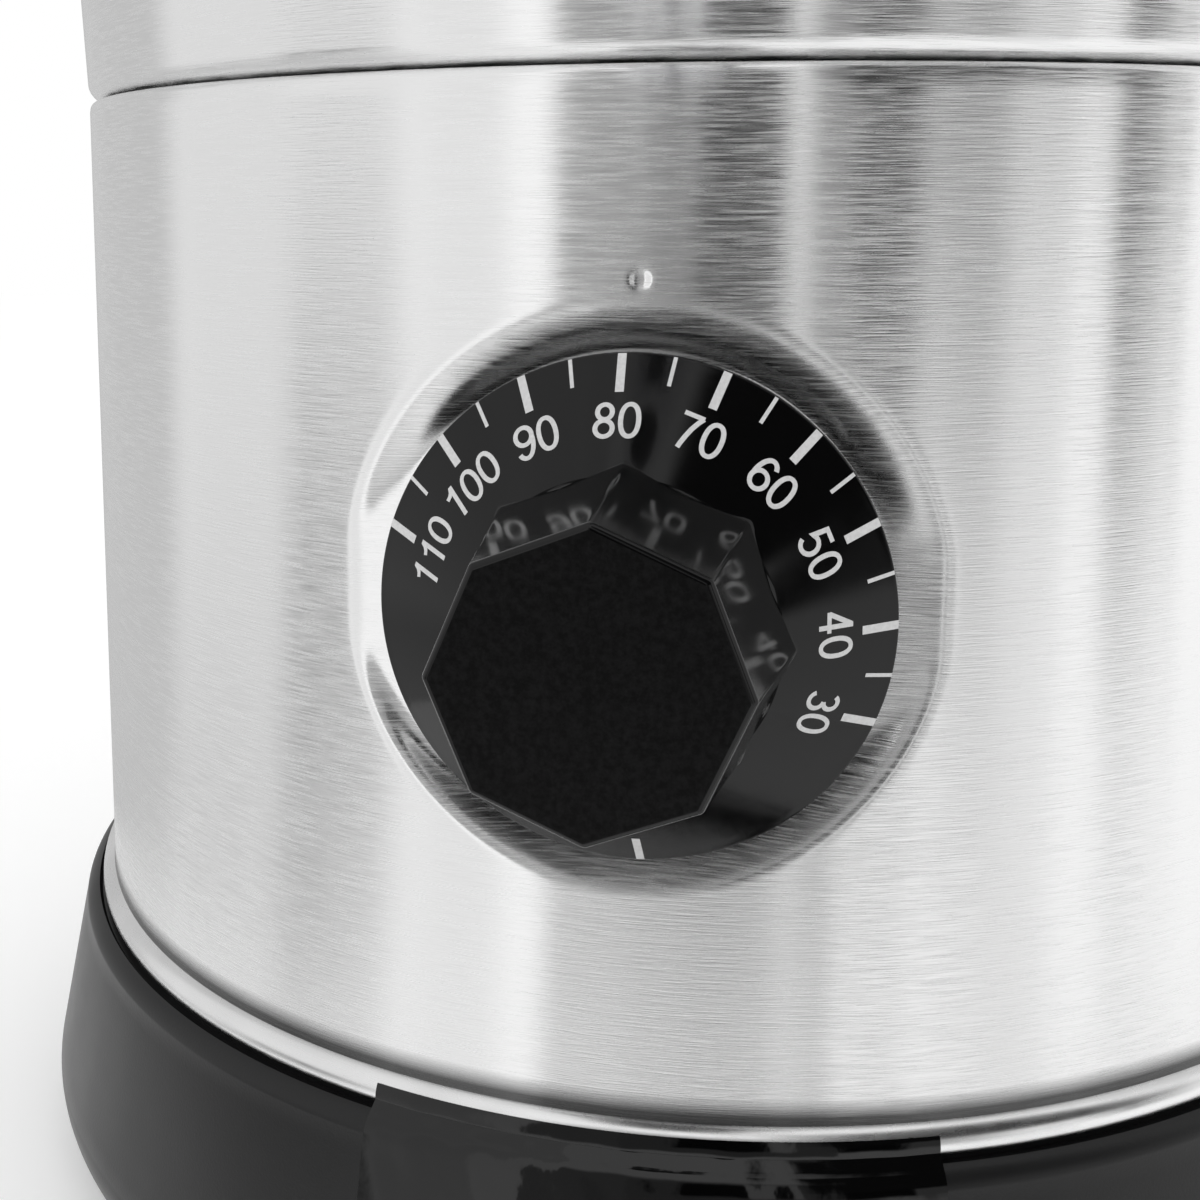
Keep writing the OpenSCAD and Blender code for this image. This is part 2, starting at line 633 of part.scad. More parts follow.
module inlet_pins() color(brass) back(inlet_z) pin_blades(pin_root_y, inlet_face_y - 3, 1);
module inlet_screws() color(steel) back(inlet_z) pair(inlet_screw_x) {
    translate([0, 0, inlet_face_y]) cylinder(r = 2.8, h = 1.6, $fn = 48);
    translate([0, 0, inlet_face_y - 14]) cylinder(r = m3_r, h = 14 + eps, $fn = 32);
}
inlet_nut_y = sqrt(pow(shell_r(inlet_z) - sheet, 2) - pow(inlet_screw_x + 3.2, 2)) - 3.2;
module inlet_nuts() color(steel) back(inlet_z) pair(inlet_screw_x) translate([0, 0, inlet_nut_y])
    difference() {
        hexagon(5.5, 2.4);
        translate([0, 0, -eps]) cylinder(r = m3_r + run_fit, h = 3, $fn = 32);
    }

// Wires between the inlet, the cut-out, the thermostat, the element and the earth screw
wire_r = 1.3;
wire_gap = 0.4;
wire_y = pin_root_y - wire_gap;
leg_x = element_r * sin(element_gap / 2);
leg_y = element_r * cos(element_gap / 2);
spade_y = thermostat_d + spade_l - thermostat_y;
spade_z = knob_z - 11.6;
cut_y = cutout_y - 24;
cut_z = reset_z - 2.6;
line_wire = [
    [7, wire_y, 82], [7, 76, 81], [16, 50, 66], [22, 8, 62], [16, -36, 76], [8, spade_y + 8, 102],
    [8, spade_y + wire_gap, spade_z]];
neutral_wire = [
    [-7, wire_y, 82], [-7, 77, 84], [-9, 66, 100], [-7, 66, 120], [-5, 73, 129],
    [-5, cut_y - wire_gap, cut_z]];
cutout_wire = [
    [5, cut_y - wire_gap, cut_z], [6, 72, 130], [16, 61, 132], [leg_x - 0.7, leg_y, 138], [leg_x, leg_y, 142],
    [leg_x, leg_y, pin_tip_z - wire_gap]];
thermostat_wire = [
    [-8, spade_y + wire_gap, spade_z], [-8, spade_y + 8, 103], [-18, -20, 104], [-25, 25, 112],
    [-leg_x, 52, 128], [-leg_x, leg_y, 140], [-leg_x, leg_y, pin_tip_z - wire_gap]];
earth_wire = [
    [0, wire_y, 86], [0, 76, 88], [-2, 56, 100], [0, 36, 122], [0, 30, 138],
    [0, 30, shield_z - 6 - wire_gap]];
module wiring() color("gainsboro") {
    tube(line_wire, wire_r, [1, 0.2, 0.6]);
    tube(neutral_wire, wire_r, [1, 0.3, 0.2]);
    tube(cutout_wire, wire_r, [0.4, 1, 0]);
    tube(thermostat_wire, wire_r, [1, 0.1, 0.2]);
    tube(earth_wire, wire_r, [1, 0, 0]);
}

// Tap: body with shank, spout, bonnet, sprung stem and cam lever
module tap_body() color("gainsboro") difference() {
    union() {
        translate([0, -tap_y, tap_bottom_z]) cylinder(r = tap_r, h = tap_top_z - tap_bottom_z);
        front(tap_z) translate([0, 0, tank_in_r - 14]) cylinder(r = shank_r, h = tap_y - tank_in_r + 14);
        front(tap_z) translate([0, 0, body_r + gasket_t]) cylinder(r = 15, h = 4);
        front(tap_z) translate([0, 0, body_r + gasket_t + 3])
            cylinder(r1 = 13, r2 = 9, h = tap_reach - tap_r - 3);
    }
    translate([0, -tap_y, seat_z]) cylinder(r = chamber_r, h = 60);
    translate([0, -tap_y, tap_bottom_z - eps]) cylinder(r = spout_bore_r, h = 20);
    front(tap_z) translate([0, 0, tank_in_r - 20]) cylinder(r = shank_bore_r, h = tap_y - tank_in_r + 20);
}
module tap_spout() color("gainsboro") translate([0, -tap_y, tap_bottom_z - spout_h]) difference() {
    union() {
        cylinder(r = spout_bore_r + 2, h = spout_h);
        translate([0, 0, spout_h - 6]) cylinder(r = tap_r - 2.5, h = 6);
        cylinder(r = spout_bore_r + 2.8, h = 2.4);
    }
    translate([0, 0, -eps]) cylinder(r = spout_bore_r, h = spout_h + 2 * eps);
}
module gasket(from, to, r) front(tap_z) translate([0, 0, from]) ring(r, shank_r + 0.1, to - from);
module tap_gasket() color(rubber) difference() {
    gasket(body_r - 3, body_r + gasket_t, 14);
    drum(body_r);
}
module tap_spacer() color(steel) intersection() {
    gasket(tank_r - 3, body_r, 12);
    difference() {
        drum(body_r - sheet - run_fit);
        drum(tank_r + run_fit, seam_z, rim_z + 2);
    }
}
module tank_gasket() color(rubber) intersection() {
    gasket(tank_in_r - 4, tank_in_r + 2, 13);
    drum(tank_in_r - run_fit);
}
module tap_nut() color(steel) front(tap_z) translate([0, 0, tank_in_r - 4 - nut_h]) difference() {
    rotate(30) hexagon(nut_af, nut_h);
    translate([0, 0, -eps]) cylinder(r = shank_r + run_fit, h = nut_h + 1);
}
module tap_bonnet() color("gainsboro") translate([0, -tap_y, 0]) difference() {
    union() {
        translate([0, 0, tap_top_z - plug_depth]) cylinder(r = chamber_r - run_fit, h = plug_depth + eps);
        translate([0, 0, tap_top_z]) rotate(30) hexagon(2 * tap_r - 2, bonnet_h - 2);
        translate([0, 0, bonnet_z - 2 - eps]) cylinder(r = tap_r - 2, h = 2 + eps);
    }
    cylinder(r = stem_r + run_fit, h = 2 * rim_z);
}
module tap_stem() color(steel) translate([0, -tap_y, 0]) difference() {
    translate([0, 0, seal_z + 1.5]) cylinder(r = stem_r, h = lever_pin_z + stem_over - seal_z - 1.5);
    translate([-9, 0, lever_pin_z]) rotate([0, 90, 0])
        cylinder(r = lever_pin_r + run_fit, h = 18, $fn = 32);
}
module tap_seal() color("white") translate([0, -tap_y, seal_z]) difference() {
    cylinder(r = seal_r, h = seal_h);
    translate([0, 0, 1.5]) cylinder(r = stem_r + run_fit, h = seal_h);
}
function helix(r, from, to, turns, n) = [for (i = [0:turns * n])
    [r * cos(360 * i / n), r * sin(360 * i / n), from + (to - from) * i / (turns * n)]];
spring_r = (stem_r + seal_r) / 2;
spring_from = seal_z + seal_h + spring_wire_r + 0.1;
spring_to = tap_top_z - plug_depth - spring_wire_r - 0.1;
module tap_spring() color(steel) translate([0, -tap_y, 0])
    tube(helix(spring_r, spring_from, spring_to, 5, 16), spring_wire_r, [0, 0, 1], 6, 1);

// Lever: its cam lifts the stem evenly with the angle, so its outline is the envelope of a steady rise
function cam_h(a) = cam_min + stem_lift * max(a, 0) / 90;
function cam_point(a, slope) = [-cam_h(a) * sin(a) - slope * cos(a), -cam_h(a) * cos(a) + slope * sin(a)];
cam_rise = stem_lift * 2 / PI;
cheek_outline = concat(
    [for (a = [-110:10:0]) cam_point(a, 0)],
    [for (a = [0:10:90]) cam_point(a, cam_rise)],
    [[-5, 8], [-3, 12], [-3, 16], [3.4, 16], [3.8, 8]]);
blade_t = 6;
module tap_lever() color(plastic) translate([0, -tap_y, lever_pin_z]) difference() {
    union() {
        rotate([90, 0, 90]) translate([0, 0, -cheek_x]) linear_extrude(2 * cheek_x) polygon(cheek_outline);
        hull() {
            translate([1 - cheek_x, -2.8, 14.5]) cube([2 * cheek_x - 2, blade_t, 1]);
            for (x = [-1, 1], y = [-1.2, 1.2]) translate([x * (cheek_x - 1), y, lever_h - blade_t / 2])
                sphere(r = blade_t / 2 + 0.4, $fn = 24);
        }
    }
    translate([-fork_x, 0, 0]) rotate([0, 90, 0]) cylinder(r = fork_r, h = 2 * fork_x);
    translate([-fork_x, -12, -12]) cube([2 * fork_x, 12 + fork_x, 12 + fork_x]);
    translate([-9, 0, 0]) rotate([0, 90, 0]) cylinder(r = lever_pin_r + run_fit, h = 18, $fn = 32);
}
module lever_pin() color(steel) translate([-cheek_x - 0.6, -tap_y, lever_pin_z]) rotate([0, 90, 0])
    cylinder(r = lever_pin_r, h = 2 * cheek_x + 1.2, $fn = 32);

// Handles: an oval bar that swells in the middle and turns in to two feet
bar_from_x = handle_foot_x;
bar_mid_x = body_r + handle_reach;
bend_r = 20;
bar_centres = concat(
    [[bar_from_x, -handle_foot_y, 0], [bar_mid_x - bend_r, -handle_foot_y, 0]],
    [for (a = [15:15:90]) [bar_mid_x - bend_r * (1 - sin(a)), -handle_foot_y + bend_r * (1 - cos(a)), 0]],
    [[bar_mid_x + 1, -11, 0], [bar_mid_x + 1.5, 0, 0], [bar_mid_x + 1, 11, 0]],
    [for (a = [90:-15:15]) [bar_mid_x - bend_r * (1 - sin(a)), handle_foot_y - bend_r * (1 - cos(a)), 0]],
    [[bar_mid_x - bend_r, handle_foot_y, 0], [bar_from_x, handle_foot_y, 0]]);
function bar_size(i, m) = let (f = abs(2 * i / m - 1), collar = 10 * max(0, f - 0.9))
    [10.5 - 2 * f + 2.5 * collar, 7.5 + 1.5 * f + collar];
module handle_bar() {
    m = len(bar_centres) - 1;
    skin([for (i = [0:m])
        let (along = bar_centres[min(i + 1, m)] - bar_centres[max(i - 1, 0)], u = [0, 0, 1])
        let (v = cross(u, unit(along)), size = bar_size(i, m))
            [for (k = [0:19]) bar_centres[i] + size[0] * cos(18 * k) * u + size[1] * sin(18 * k) * v]]);
}
module handle(side) color(plastic) translate([0, 0, handle_z]) rotate(side > 0 ? 0 : 180) difference() {
    handle_bar();
    for (y = [-1, 1]) translate([handle_foot_x - eps, y * handle_foot_y, 0]) rotate([0, 90, 0])
        cylinder(r = m5_r + run_fit, h = 14, $fn = 32);
}
module handle_left() handle(-1);
module handle_right() handle(1);
module handle_washers() color(steel) for (s = [-1, 1], y = [-1, 1]) difference() {
    translate([0, y * handle_foot_y, handle_z]) rotate([0, 90 * s, 0]) translate([0, 0, foot_wall_x - 6])
        ring(11.5, m5_r + screw_fit, handle_foot_x - foot_wall_x + 6);
    drum(body_r);
}
module handle_screws() color(steel) for (s = [-1, 1], y = [-1, 1])
    translate([0, y * handle_foot_y, handle_z]) rotate([0, 90 * s, 0]) {
        translate([0, 0, head_from_x]) cylinder(r = head_r, h = head_to_x - head_from_x, $fn = 48);
        translate([0, 0, head_to_x - eps]) cylinder(r = m5_r, h = 17, $fn = 32);
    }

// Lid: a spun dome whose skirt covers the rim bead, with a centring ring and a steam hole
lid_path = concat(
    arc([0, dome_top_z - dome_sphere_r], dome_sphere_r, 90, 90 - asin(dome_r / dome_sphere_r), 12),
    [[dome_r + 2, lid_seat_z + 1], [dome_r + 4, lid_seat_z]],
    arc([lid_skirt_r - 1.6, lid_seat_z - 1.6], 1.6, 90, 0, 5),
    [[lid_skirt_r, rim_z - 1.5]]);
module lid() color(steel) difference() {
    union() {
        rotate_extrude() polygon(sheet_of(lid_path, sheet));
        translate([0, 0, rim_z - spigot_h])
            ring(spigot_r, spigot_r - sheet, lid_seat_z + eps - rim_z + spigot_h);
    }
    cylinder(r = m4_r + screw_fit, h = 2 * rim_z, $fn = 32);
    translate([0, -62, rim_z]) cylinder(r = 3, h = 60);
}
knob_seat_z = dome_top_z + sheet;
lid_knob_profile = concat(
    [[0, 0], [12, 0], [12, 1.5]],
    arc([17.5, 9], 9.5, 225, 165, 6),
    arc([lid_knob_r - 5, lid_knob_h - 6.5], 5, -50, 62, 8),
    arc([0, lid_knob_h - 60], 60, 76, 90, 6));
module lid_knob() color(plastic) translate([0, 0, knob_seat_z]) difference() {
    rotate_extrude() polygon(lid_knob_profile);
    translate([0, 0, -eps]) cylinder(r = m4_r + run_fit, h = 13, $fn = 32);
}
lid_washer_r = 7;
lid_washer_z = dome_top_z - lid_washer_r * lid_washer_r / (2 * dome_sphere_r) - run_fit;
module lid_screw() color(steel) translate([0, 0, lid_washer_z]) {
    translate([0, 0, -2.8]) cylinder(r = 4, h = 2.2 + eps, $fn = 48);
    translate([0, 0, -0.6]) cylinder(r = lid_washer_r, h = 0.6, $fn = 48);
    translate([0, 0, -1]) cylinder(r = m4_r, h = 12.5, $fn = 32);
}

base_housing();
bottom_cover();
foot_ring();
cover_screws();
lower_shell();
label_film();
outer_shell();
inner_tank();
insulation_sleeve();
heat_plate();
heating_element();
heat_shield();
tie_studs();
tie_nuts();
thermostat_body();
thermostat_screws();
thermostat_shaft();
knob();
knob_spring_clip();
sensor_bulb();
bulb_clip();
capillary_tube();
thermal_cutout();
reset_ring_nut();
reset_button();
power_inlet();
inlet_pins();
inlet_screws();
inlet_nuts();
wiring();
earth_screw();
tap_body();
tap_spout();
tap_gasket();
tap_spacer();
tank_gasket();
tap_nut();
tap_bonnet();
tap_stem();
tap_seal();
tap_spring();
tap_lever();
lever_pin();
handle_left();
handle_right();
handle_washers();
handle_screws();
lid();
lid_knob();
lid_screw();
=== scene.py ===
# %% [markdown]
# # An electric kettle for mulled wine
# The kettle is a double-walled steel tank on a black moulded base, with a thermostat dial pressed into the
# front. The solids of the kettle come ready made and stay where they are. This lesson gives them the
# surfaces that an eye would see: brushed steel, satin plastic, a printed dial and a glossy film. Every new
# piece is worked out with numpy as points on a grid, so that a shape is always a formula that can be read.

# %% Load the frame
import bmesh
import bpy
import math
import numpy as np
from mathutils import Matrix, Vector


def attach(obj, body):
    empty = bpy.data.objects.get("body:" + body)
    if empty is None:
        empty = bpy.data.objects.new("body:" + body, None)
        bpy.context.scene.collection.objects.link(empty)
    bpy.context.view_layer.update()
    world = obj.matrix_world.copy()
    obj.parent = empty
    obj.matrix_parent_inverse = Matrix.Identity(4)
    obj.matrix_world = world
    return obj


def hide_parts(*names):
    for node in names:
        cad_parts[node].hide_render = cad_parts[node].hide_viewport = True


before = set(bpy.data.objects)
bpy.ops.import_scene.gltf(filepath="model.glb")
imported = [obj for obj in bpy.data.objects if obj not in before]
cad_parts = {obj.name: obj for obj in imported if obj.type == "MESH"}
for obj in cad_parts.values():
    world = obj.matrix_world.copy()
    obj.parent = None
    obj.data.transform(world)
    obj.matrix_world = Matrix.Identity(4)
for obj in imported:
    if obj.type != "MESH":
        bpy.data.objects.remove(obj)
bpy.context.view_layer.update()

# %% [markdown]
# ## The camera
# The photograph is a close view: the lens stands only a hand's breadth in front of the dial, a little above
# it and to its right. So near, the picture depends on the distance, and a camera aimed by eye would bend
# the ellipses wrongly. Its place and its turn are therefore given as numbers, and its axes are built from
# three angles.

# %% Camera
MM = 0.001
dial_z = 114.5 * MM
camera_place = np.array([27.34 * MM, -280.54 * MM, dial_z + 46.89 * MM])
camera_yaw = 0.1852
camera_pitch = 0.2611
camera_roll = -0.0033
camera_lens = 45.68


def new_object(name, data):
    """An object in the scene that shows the data."""
    item = bpy.data.objects.new(name, data)
    bpy.context.scene.collection.objects.link(item)
    return item


def camera_axes(yaw, pitch, roll):
    """Right, up and backward: yaw turns about the vertical, pitch tips down, roll turns the picture."""
    ahead = np.array([-math.sin(yaw) * math.cos(pitch), math.cos(yaw) * math.cos(pitch), -math.sin(pitch)])
    level = np.cross(ahead, [0, 0, 1])
    level /= np.linalg.norm(level)
    above = np.cross(level, ahead)
    right = math.cos(roll) * level + math.sin(roll) * above
    up = math.cos(roll) * above - math.sin(roll) * level
    return right, up, -ahead


camera_data = bpy.data.cameras.new("camera")
camera_data.lens = camera_lens
camera_data.sensor_width = 36
camera_data.clip_start = 0.005
camera = new_object("camera", camera_data)
camera_matrix = np.eye(4)
camera_matrix[:3, :3] = np.column_stack(camera_axes(camera_yaw, camera_pitch, camera_roll))
camera_matrix[:3, 3] = camera_place
camera.matrix_world = Matrix(camera_matrix.tolist())
bpy.context.scene.camera = camera
print("camera stands", round(float(-camera_place[1] / MM), 1), "mm in front of the kettle's axis")

# %% [markdown]
# ## Sizes of the kettle
# These are the sizes of the solids, in metres, named as a maker would name them. All new pieces are built
# from them, so that they lie exactly on what carries them.

# %% Sizes
body_r = 108.7 * MM
sheet = 0.8 * MM
seam_z = 175.1 * MM
roll_r = 2.4 * MM
low_roll_r = 1.2 * MM
seam_gap = 0.3 * MM
flange_w = 8 * MM
shell_flare = 6.3 * MM
foot_z = 46 * MM
cove_r = 3.5 * MM
bead_r = 3 * MM
bead_slope = 50
bead_c_z = foot_z + 0.6 * MM
cove_z = bead_c_z + (bead_r + cove_r) * math.sin(math.radians(bead_slope))
foot_r = body_r + shell_flare
bead_c_r = foot_r + cove_r - (cove_r + bead_r) * math.cos(math.radians(bead_slope))
bead_out_r = bead_c_r + bead_r
hollow_z = bead_c_z + 5.4 * MM

base_r = 127 * MM
base_wide_z = 15 * MM
base_wall = 2.8 * MM
shoulder_r = 3.6 * MM
base_edge_r = 10 * MM
lip_r = bead_out_r - 0.5 * MM
lip_z = foot_z - 0.5 * MM
base_slope = math.degrees(math.atan((base_r - lip_r - shoulder_r) / (lip_z - shoulder_r - base_wide_z)))
base_c_r = base_r - base_edge_r * math.cos(math.radians(base_slope))
base_c_z = base_wide_z - base_edge_r * math.sin(math.radians(base_slope))

dial_r = 30 * MM
dial_slope = 0.75
dial_edge = 1.3 * MM
grip_base_r = 19.2 * MM
grip_front_r = 16.8 * MM
grip_h = 27.5 * MM
recess_depth_y = 105.99 * MM


def shell_radius(z):
    """The lower shell is a slender cone: its radius grows evenly from the seam down to the foot."""
    return body_r + shell_flare * (seam_z - z) / (seam_z - cove_z)


dial_y = shell_radius(dial_z) + 3 * MM
cone_h = (dial_r - grip_base_r) * dial_slope
print("dial rim", round(dial_y / MM, 2), "mm in front of the axis")

# %% [markdown]
# ## Helpers for surfaces
# A surface is a grid of points: one index runs along a profile and the other round it. The helper below
# makes the grid into a mesh with whole-array arithmetic. `closed` says for each direction whether the last
# row of points joins the first again, as on a pipe.

# %% Surface helpers
def arc(centre_r, centre_z, radius, start, stop, count):
    """Points on a circle: the centre plus the radius times (cos a, sin a), with even steps of a."""
    a = np.radians(np.linspace(start, stop, count))
    return np.column_stack([centre_r + radius * np.cos(a), centre_z + radius * np.sin(a)])


def line(a, b, count):
    """Points evenly spaced from a to b, both ends included."""
    t = np.linspace(0, 1, count)[:, None]
    return np.asarray(a) * (1 - t) + np.asarray(b) * t


def full_turn(count):
    """Evenly spaced angles once round, in radians."""
    return np.linspace(0, 2 * math.pi, count, endpoint=False)


def unit(vectors):
    """Vectors of length one: each divided by the root of the sum of its squares."""
    return vectors / np.linalg.norm(vectors, axis=-1, keepdims=True)


def grid_faces(rows, columns, closed=(False, False)):
    """The corners of each cell: (i, j), (i+1, j), (i+1, j+1), (i, j+1), wrapped where closed."""
    i = np.arange(rows if closed[0] else rows - 1)[:, None]
    j = np.arange(columns if closed[1] else columns - 1)[None, :]
    i2 = (i + 1) % rows
    j2 = (j + 1) % columns
    corners = [i * columns + j, i2 * columns + j, i2 * columns + j2, i * columns + j2]
    return np.stack([np.broadcast_to(c, (i.shape[0], j.shape[1])) for c in corners], axis=-1).reshape(-1, 4)


def rings_joined(points):
    """Rings of points with the faces between them. Each ring is closed, and the stack of rings is open."""
    return points, grid_faces(*points.shape[:2], (False, True))


def join_grids(*grids):
    """Puts several grids, each of points and faces, into one, with the faces' numbers moved on."""
    points = [np.asarray(grid[0]).reshape(-1, 3) for grid in grids]
    starts = np.cumsum([0] + [len(p) for p in points])
    faces = [np.asarray(f) + start for grid, start in zip(grids, starts) for f in grid[1:]]
    return [np.concatenate(points)] + faces


def make_piece(name, points, *faces, body="root", slot=None, sharp=35, materials=()):
    """A mesh from points and arrays of faces, each array with one count of corners, riding on its body. The
    corners of all faces stand in one row of numbers, and each face starts where the one before it ends."""
    points = np.asarray(points, dtype=np.float32).reshape(-1, 3)
    faces = [np.atleast_2d(np.asarray(f, dtype=np.int32)) for f in faces]
    sizes = np.concatenate([np.full(len(f), f.shape[1], dtype=np.int32) for f in faces])
    corners = np.concatenate([f.ravel() for f in faces])
    mesh = bpy.data.meshes.new(name)
    mesh.vertices.add(len(points))
    mesh.vertices.foreach_set("co", points.ravel())
    mesh.loops.add(len(corners))
    mesh.loops.foreach_set("vertex_index", corners)
    mesh.polygons.add(len(sizes))
    mesh.polygons.foreach_set("loop_start", np.concatenate([[0], np.cumsum(sizes)[:-1]]).astype(np.int32))
    mesh.update(calc_edges=True)
    piece = new_object(name, mesh)
    face_outwards(piece)
    mesh.shade_smooth()
    mesh.set_sharp_from_angle(angle=math.radians(sharp))
    for material in materials:
        mesh.materials.append(material)
    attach(piece, body)
    return piece


def face_centres(piece):
    """The middle of every face as an array."""
    centres = np.empty(3 * len(piece.data.polygons), dtype=np.float32)
    piece.data.polygons.foreach_get("center", centres)
    return centres.reshape(-1, 3)


def paint_faces(piece, second):
    """Gives the faces that the mask marks the piece's second material."""
    piece.data.polygons.foreach_set("material_index", np.asarray(second).astype(np.int32))
    piece.data.update()


def face_outwards(piece):
    """Merges doubled points and turns every face of the surface outwards."""
    work = bmesh.new()
    work.from_mesh(piece.data)
    bmesh.ops.remove_doubles(work, verts=work.verts, dist=1e-7)
    bmesh.ops.recalc_face_normals(work, faces=work.faces)
    work.to_mesh(piece.data)
    work.free()


def turned(outline, steps=288, closed=True):
    """Turns an outline of (radius, height) points about the upright axis: (r cos t, r sin t, z)."""
    outline = np.asarray(outline)
    turn = full_turn(steps)
    points = np.stack([outline[:, :1] * np.cos(turn), outline[:, :1] * np.sin(turn),
                       np.repeat(outline[:, 1:], steps, axis=1)], axis=-1)
    return points, grid_faces(len(outline), steps, (closed, True))


def mitres(path, loop=False):
    """The step sideways at each point of a line that moves both edges beside it by one: the sum of their
    two normals over 1 plus their product."""
    step = unit(np.diff(path, axis=0))
    side = np.column_stack([-step[:, 1], step[:, 0]])
    before = np.vstack([side[-1:] if loop else side[:1], side])
    after = np.vstack([side, side[:1] if loop else side[-1:]])
    return (before + after) / (1 + np.sum(before * after, axis=1))[:, None]


def sheet_outline(path, thickness):
    """A sheet's outline: the path, then the path again moved sideways by the thickness, backwards."""
    return np.vstack([path, (path + thickness * mitres(path))[::-1]])


# %% [markdown]
# ## Brushed steel
# A belt of abrasive runs round the drum and leaves millions of fine level scratches, each some millimetres
# long and about a tenth of a millimetre high. They do two things. Up close they are light and dark streaks.
# From afar they spread every reflection upwards and downwards but hardly sideways, which turns the lamps
# into upright bands. The streaks are noise that is squeezed in height, and the spread is the anisotropy of
# the shader, with its direction worked out from the place on the drum, so that it follows the drum all
# round.

# %% Material helpers
def add_node(tree, kind, inputs=(), **settings):
    """Adds a node, sets its properties, and fills its inputs with constants or links."""
    node = tree.nodes.new("ShaderNode" + kind)
    for key, value in settings.items():
        setattr(node, key, value)
    for key, value in dict(inputs).items():
        if isinstance(value, bpy.types.NodeSocket):
            tree.links.new(value, node.inputs[key])
        else:
            node.inputs[key].default_value = value
    return node


def new_material(name, colour, **constants):
    """A material with one Principled shader, whose constants are set on its own sockets."""
    material = bpy.data.materials.new(name)
    material.use_nodes = True
    tree = material.node_tree
    shader = tree.nodes["Principled BSDF"]
    shader.inputs["Base Color"].default_value = (*colour, 1)
    for key, value in constants.items():
        shader.inputs[key.replace("_", " ")].default_value = value
    return material, tree, shader


def object_place(tree):
    """The place on the object itself, in metres."""
    return add_node(tree, "TexCoord").outputs["Object"]


def noise(tree, scale, detail=2.0, roughness=0.5, stretch=(1, 1, 1), where=None):
    """Noise on the object's own coordinates, in cells per metre along each axis: scale times stretch."""
    mapping = add_node(tree, "Mapping", {"Vector": where or object_place(tree), "Scale": stretch})
    return add_node(tree, "TexNoise", {
        "Vector": mapping.outputs["Vector"], "Scale": scale, "Detail": detail,
        "Roughness": roughness}).outputs["Fac"]


def spread(tree, value, low, high, to_low, to_high, kind="LINEAR"):
    """Maps values between low and high onto to_low to to_high, and holds them at the ends."""
    inputs = {"Value": value, "From Min": low, "From Max": high, "To Min": to_low, "To Max": to_high}
    return add_node(tree, "MapRange", inputs, interpolation_type=kind).outputs["Result"]


def math_node(tree, operation, a, b=0.0, c=0.0):
    """One arithmetic step on values."""
    return add_node(tree, "Math", {0: a, 1: b, 2: c}, operation=operation).outputs[0]


def vector_math(tree, operation, *vectors):
    """One step on vectors: the outputs of the node, a vector and a value."""
    return add_node(tree, "VectorMath", dict(enumerate(vectors)), operation=operation).outputs


def grey(level):
    """A colour without a tint."""
    return level, level, level


def colour_mix(tree, factor, first, second):
    """A colour between two colours, of which the first may also be a link."""
    first = first if isinstance(first, bpy.types.NodeSocket) else (*first, 1)
    inputs = {0: factor, 6: first, 7: (*second, 1)}
    return add_node(tree, "Mix", inputs, data_type="RGBA").outputs[2]


def drive(shader, **values):
    """Links values to the shader's inputs, whose names have underscores for blanks here."""
    for key, value in values.items():
        shader.id_data.links.new(value, shader.inputs[key.replace("_", " ")])


def bump(shader, height, distance):
    """Lets a height tilt the surface. A height of one stands for the distance in metres."""
    node = add_node(shader.id_data, "Bump", {"Height": height, "Distance": distance})
    drive(shader, Normal=node.outputs["Normal"])


# %% Steel
def round_direction(tree):
    """The level direction round the upright axis: up crossed with the place on the piece."""
    return vector_math(tree, "CROSS_PRODUCT", (0, 0, 1), object_place(tree))["Vector"]


def dull_band(tree, low, high, softness):
    """The mask of a band of painted shade: 1 between two heights and 0 outside, over a soft edge: the
    product of a rise and a fall.
    """
    height = add_node(tree, "SeparateXYZ", {0: object_place(tree)}).outputs["Z"]
    rise = spread(tree, height, low - softness, low + softness, 0, 1)
    return math_node(tree, "MULTIPLY", rise, spread(tree, height, high - softness, high + softness, 1, 0))


def profile_place(tree):
    """The place on a turned piece: x, y, and the height plus the distance from the axis. The last grows
    along the profile on upright and on flat parts alike, so that streaks run as rings everywhere."""
    place = object_place(tree)
    parts = add_node(tree, "SeparateXYZ", {0: place}).outputs
    away = vector_math(tree, "LENGTH", vector_math(tree, "MULTIPLY", place, (1, 1, 0))["Vector"])["Value"]
    along = math_node(tree, "ADD", parts["Z"], away)
    return add_node(tree, "CombineXYZ", {0: parts["X"], 1: parts["Y"], 2: along}).outputs[0]


def brushed_steel(name, dark, light, roughness, streak, anisotropy=0.9, painted_shade_bands=(), spun=False):
    """Steel brushed round the drum: streaks in colour, roughness and height, and reflections spread
    upright. Deep scratches scatter light to all sides, so the metal is less than pure there. Bands are
    painted shade: a dark grey laid over the steel's colour where a crease lies in shadow. A spun piece has
    longer and broader streaks, which run as rings over its flat parts too."""
    material, tree, shader = new_material(name, light, Metallic=1.0, Anisotropic=anisotropy,
                                          Anisotropic_Rotation=0.25)
    place = profile_place(tree) if spun else None
    fine = noise(tree, 1, 1.0, 0.6, (40, 40, 3000) if spun else (190, 190, 5200), place)
    broad = noise(tree, 1, 2.0, 0.5, (12, 12, 900) if spun else (40, 40, 1500), place)
    cloud = noise(tree, 14, 2.0, 0.5)
    mixed = math_node(tree, "MULTIPLY_ADD", fine, 0.8, math_node(tree, "MULTIPLY", broad, 0.2))
    tint = colour_mix(tree, spread(tree, mixed, 0.36, 0.62, 0, 1), dark, light)
    for low, high, softness, level in painted_shade_bands:
        tint = colour_mix(tree, dull_band(tree, low, high, softness), tint, grey(level))
    rough = math_node(tree, "MULTIPLY_ADD", mixed, 0.36, roughness - 0.18)
    rough = math_node(tree, "MULTIPLY_ADD", cloud, 0.03, rough)
    drive(shader, Base_Color=tint, Metallic=spread(tree, mixed, 0.46, 0.66, 1.0, 0.9), Roughness=rough,
          Tangent=round_direction(tree))
    bump(shader, mixed, streak)
    return material
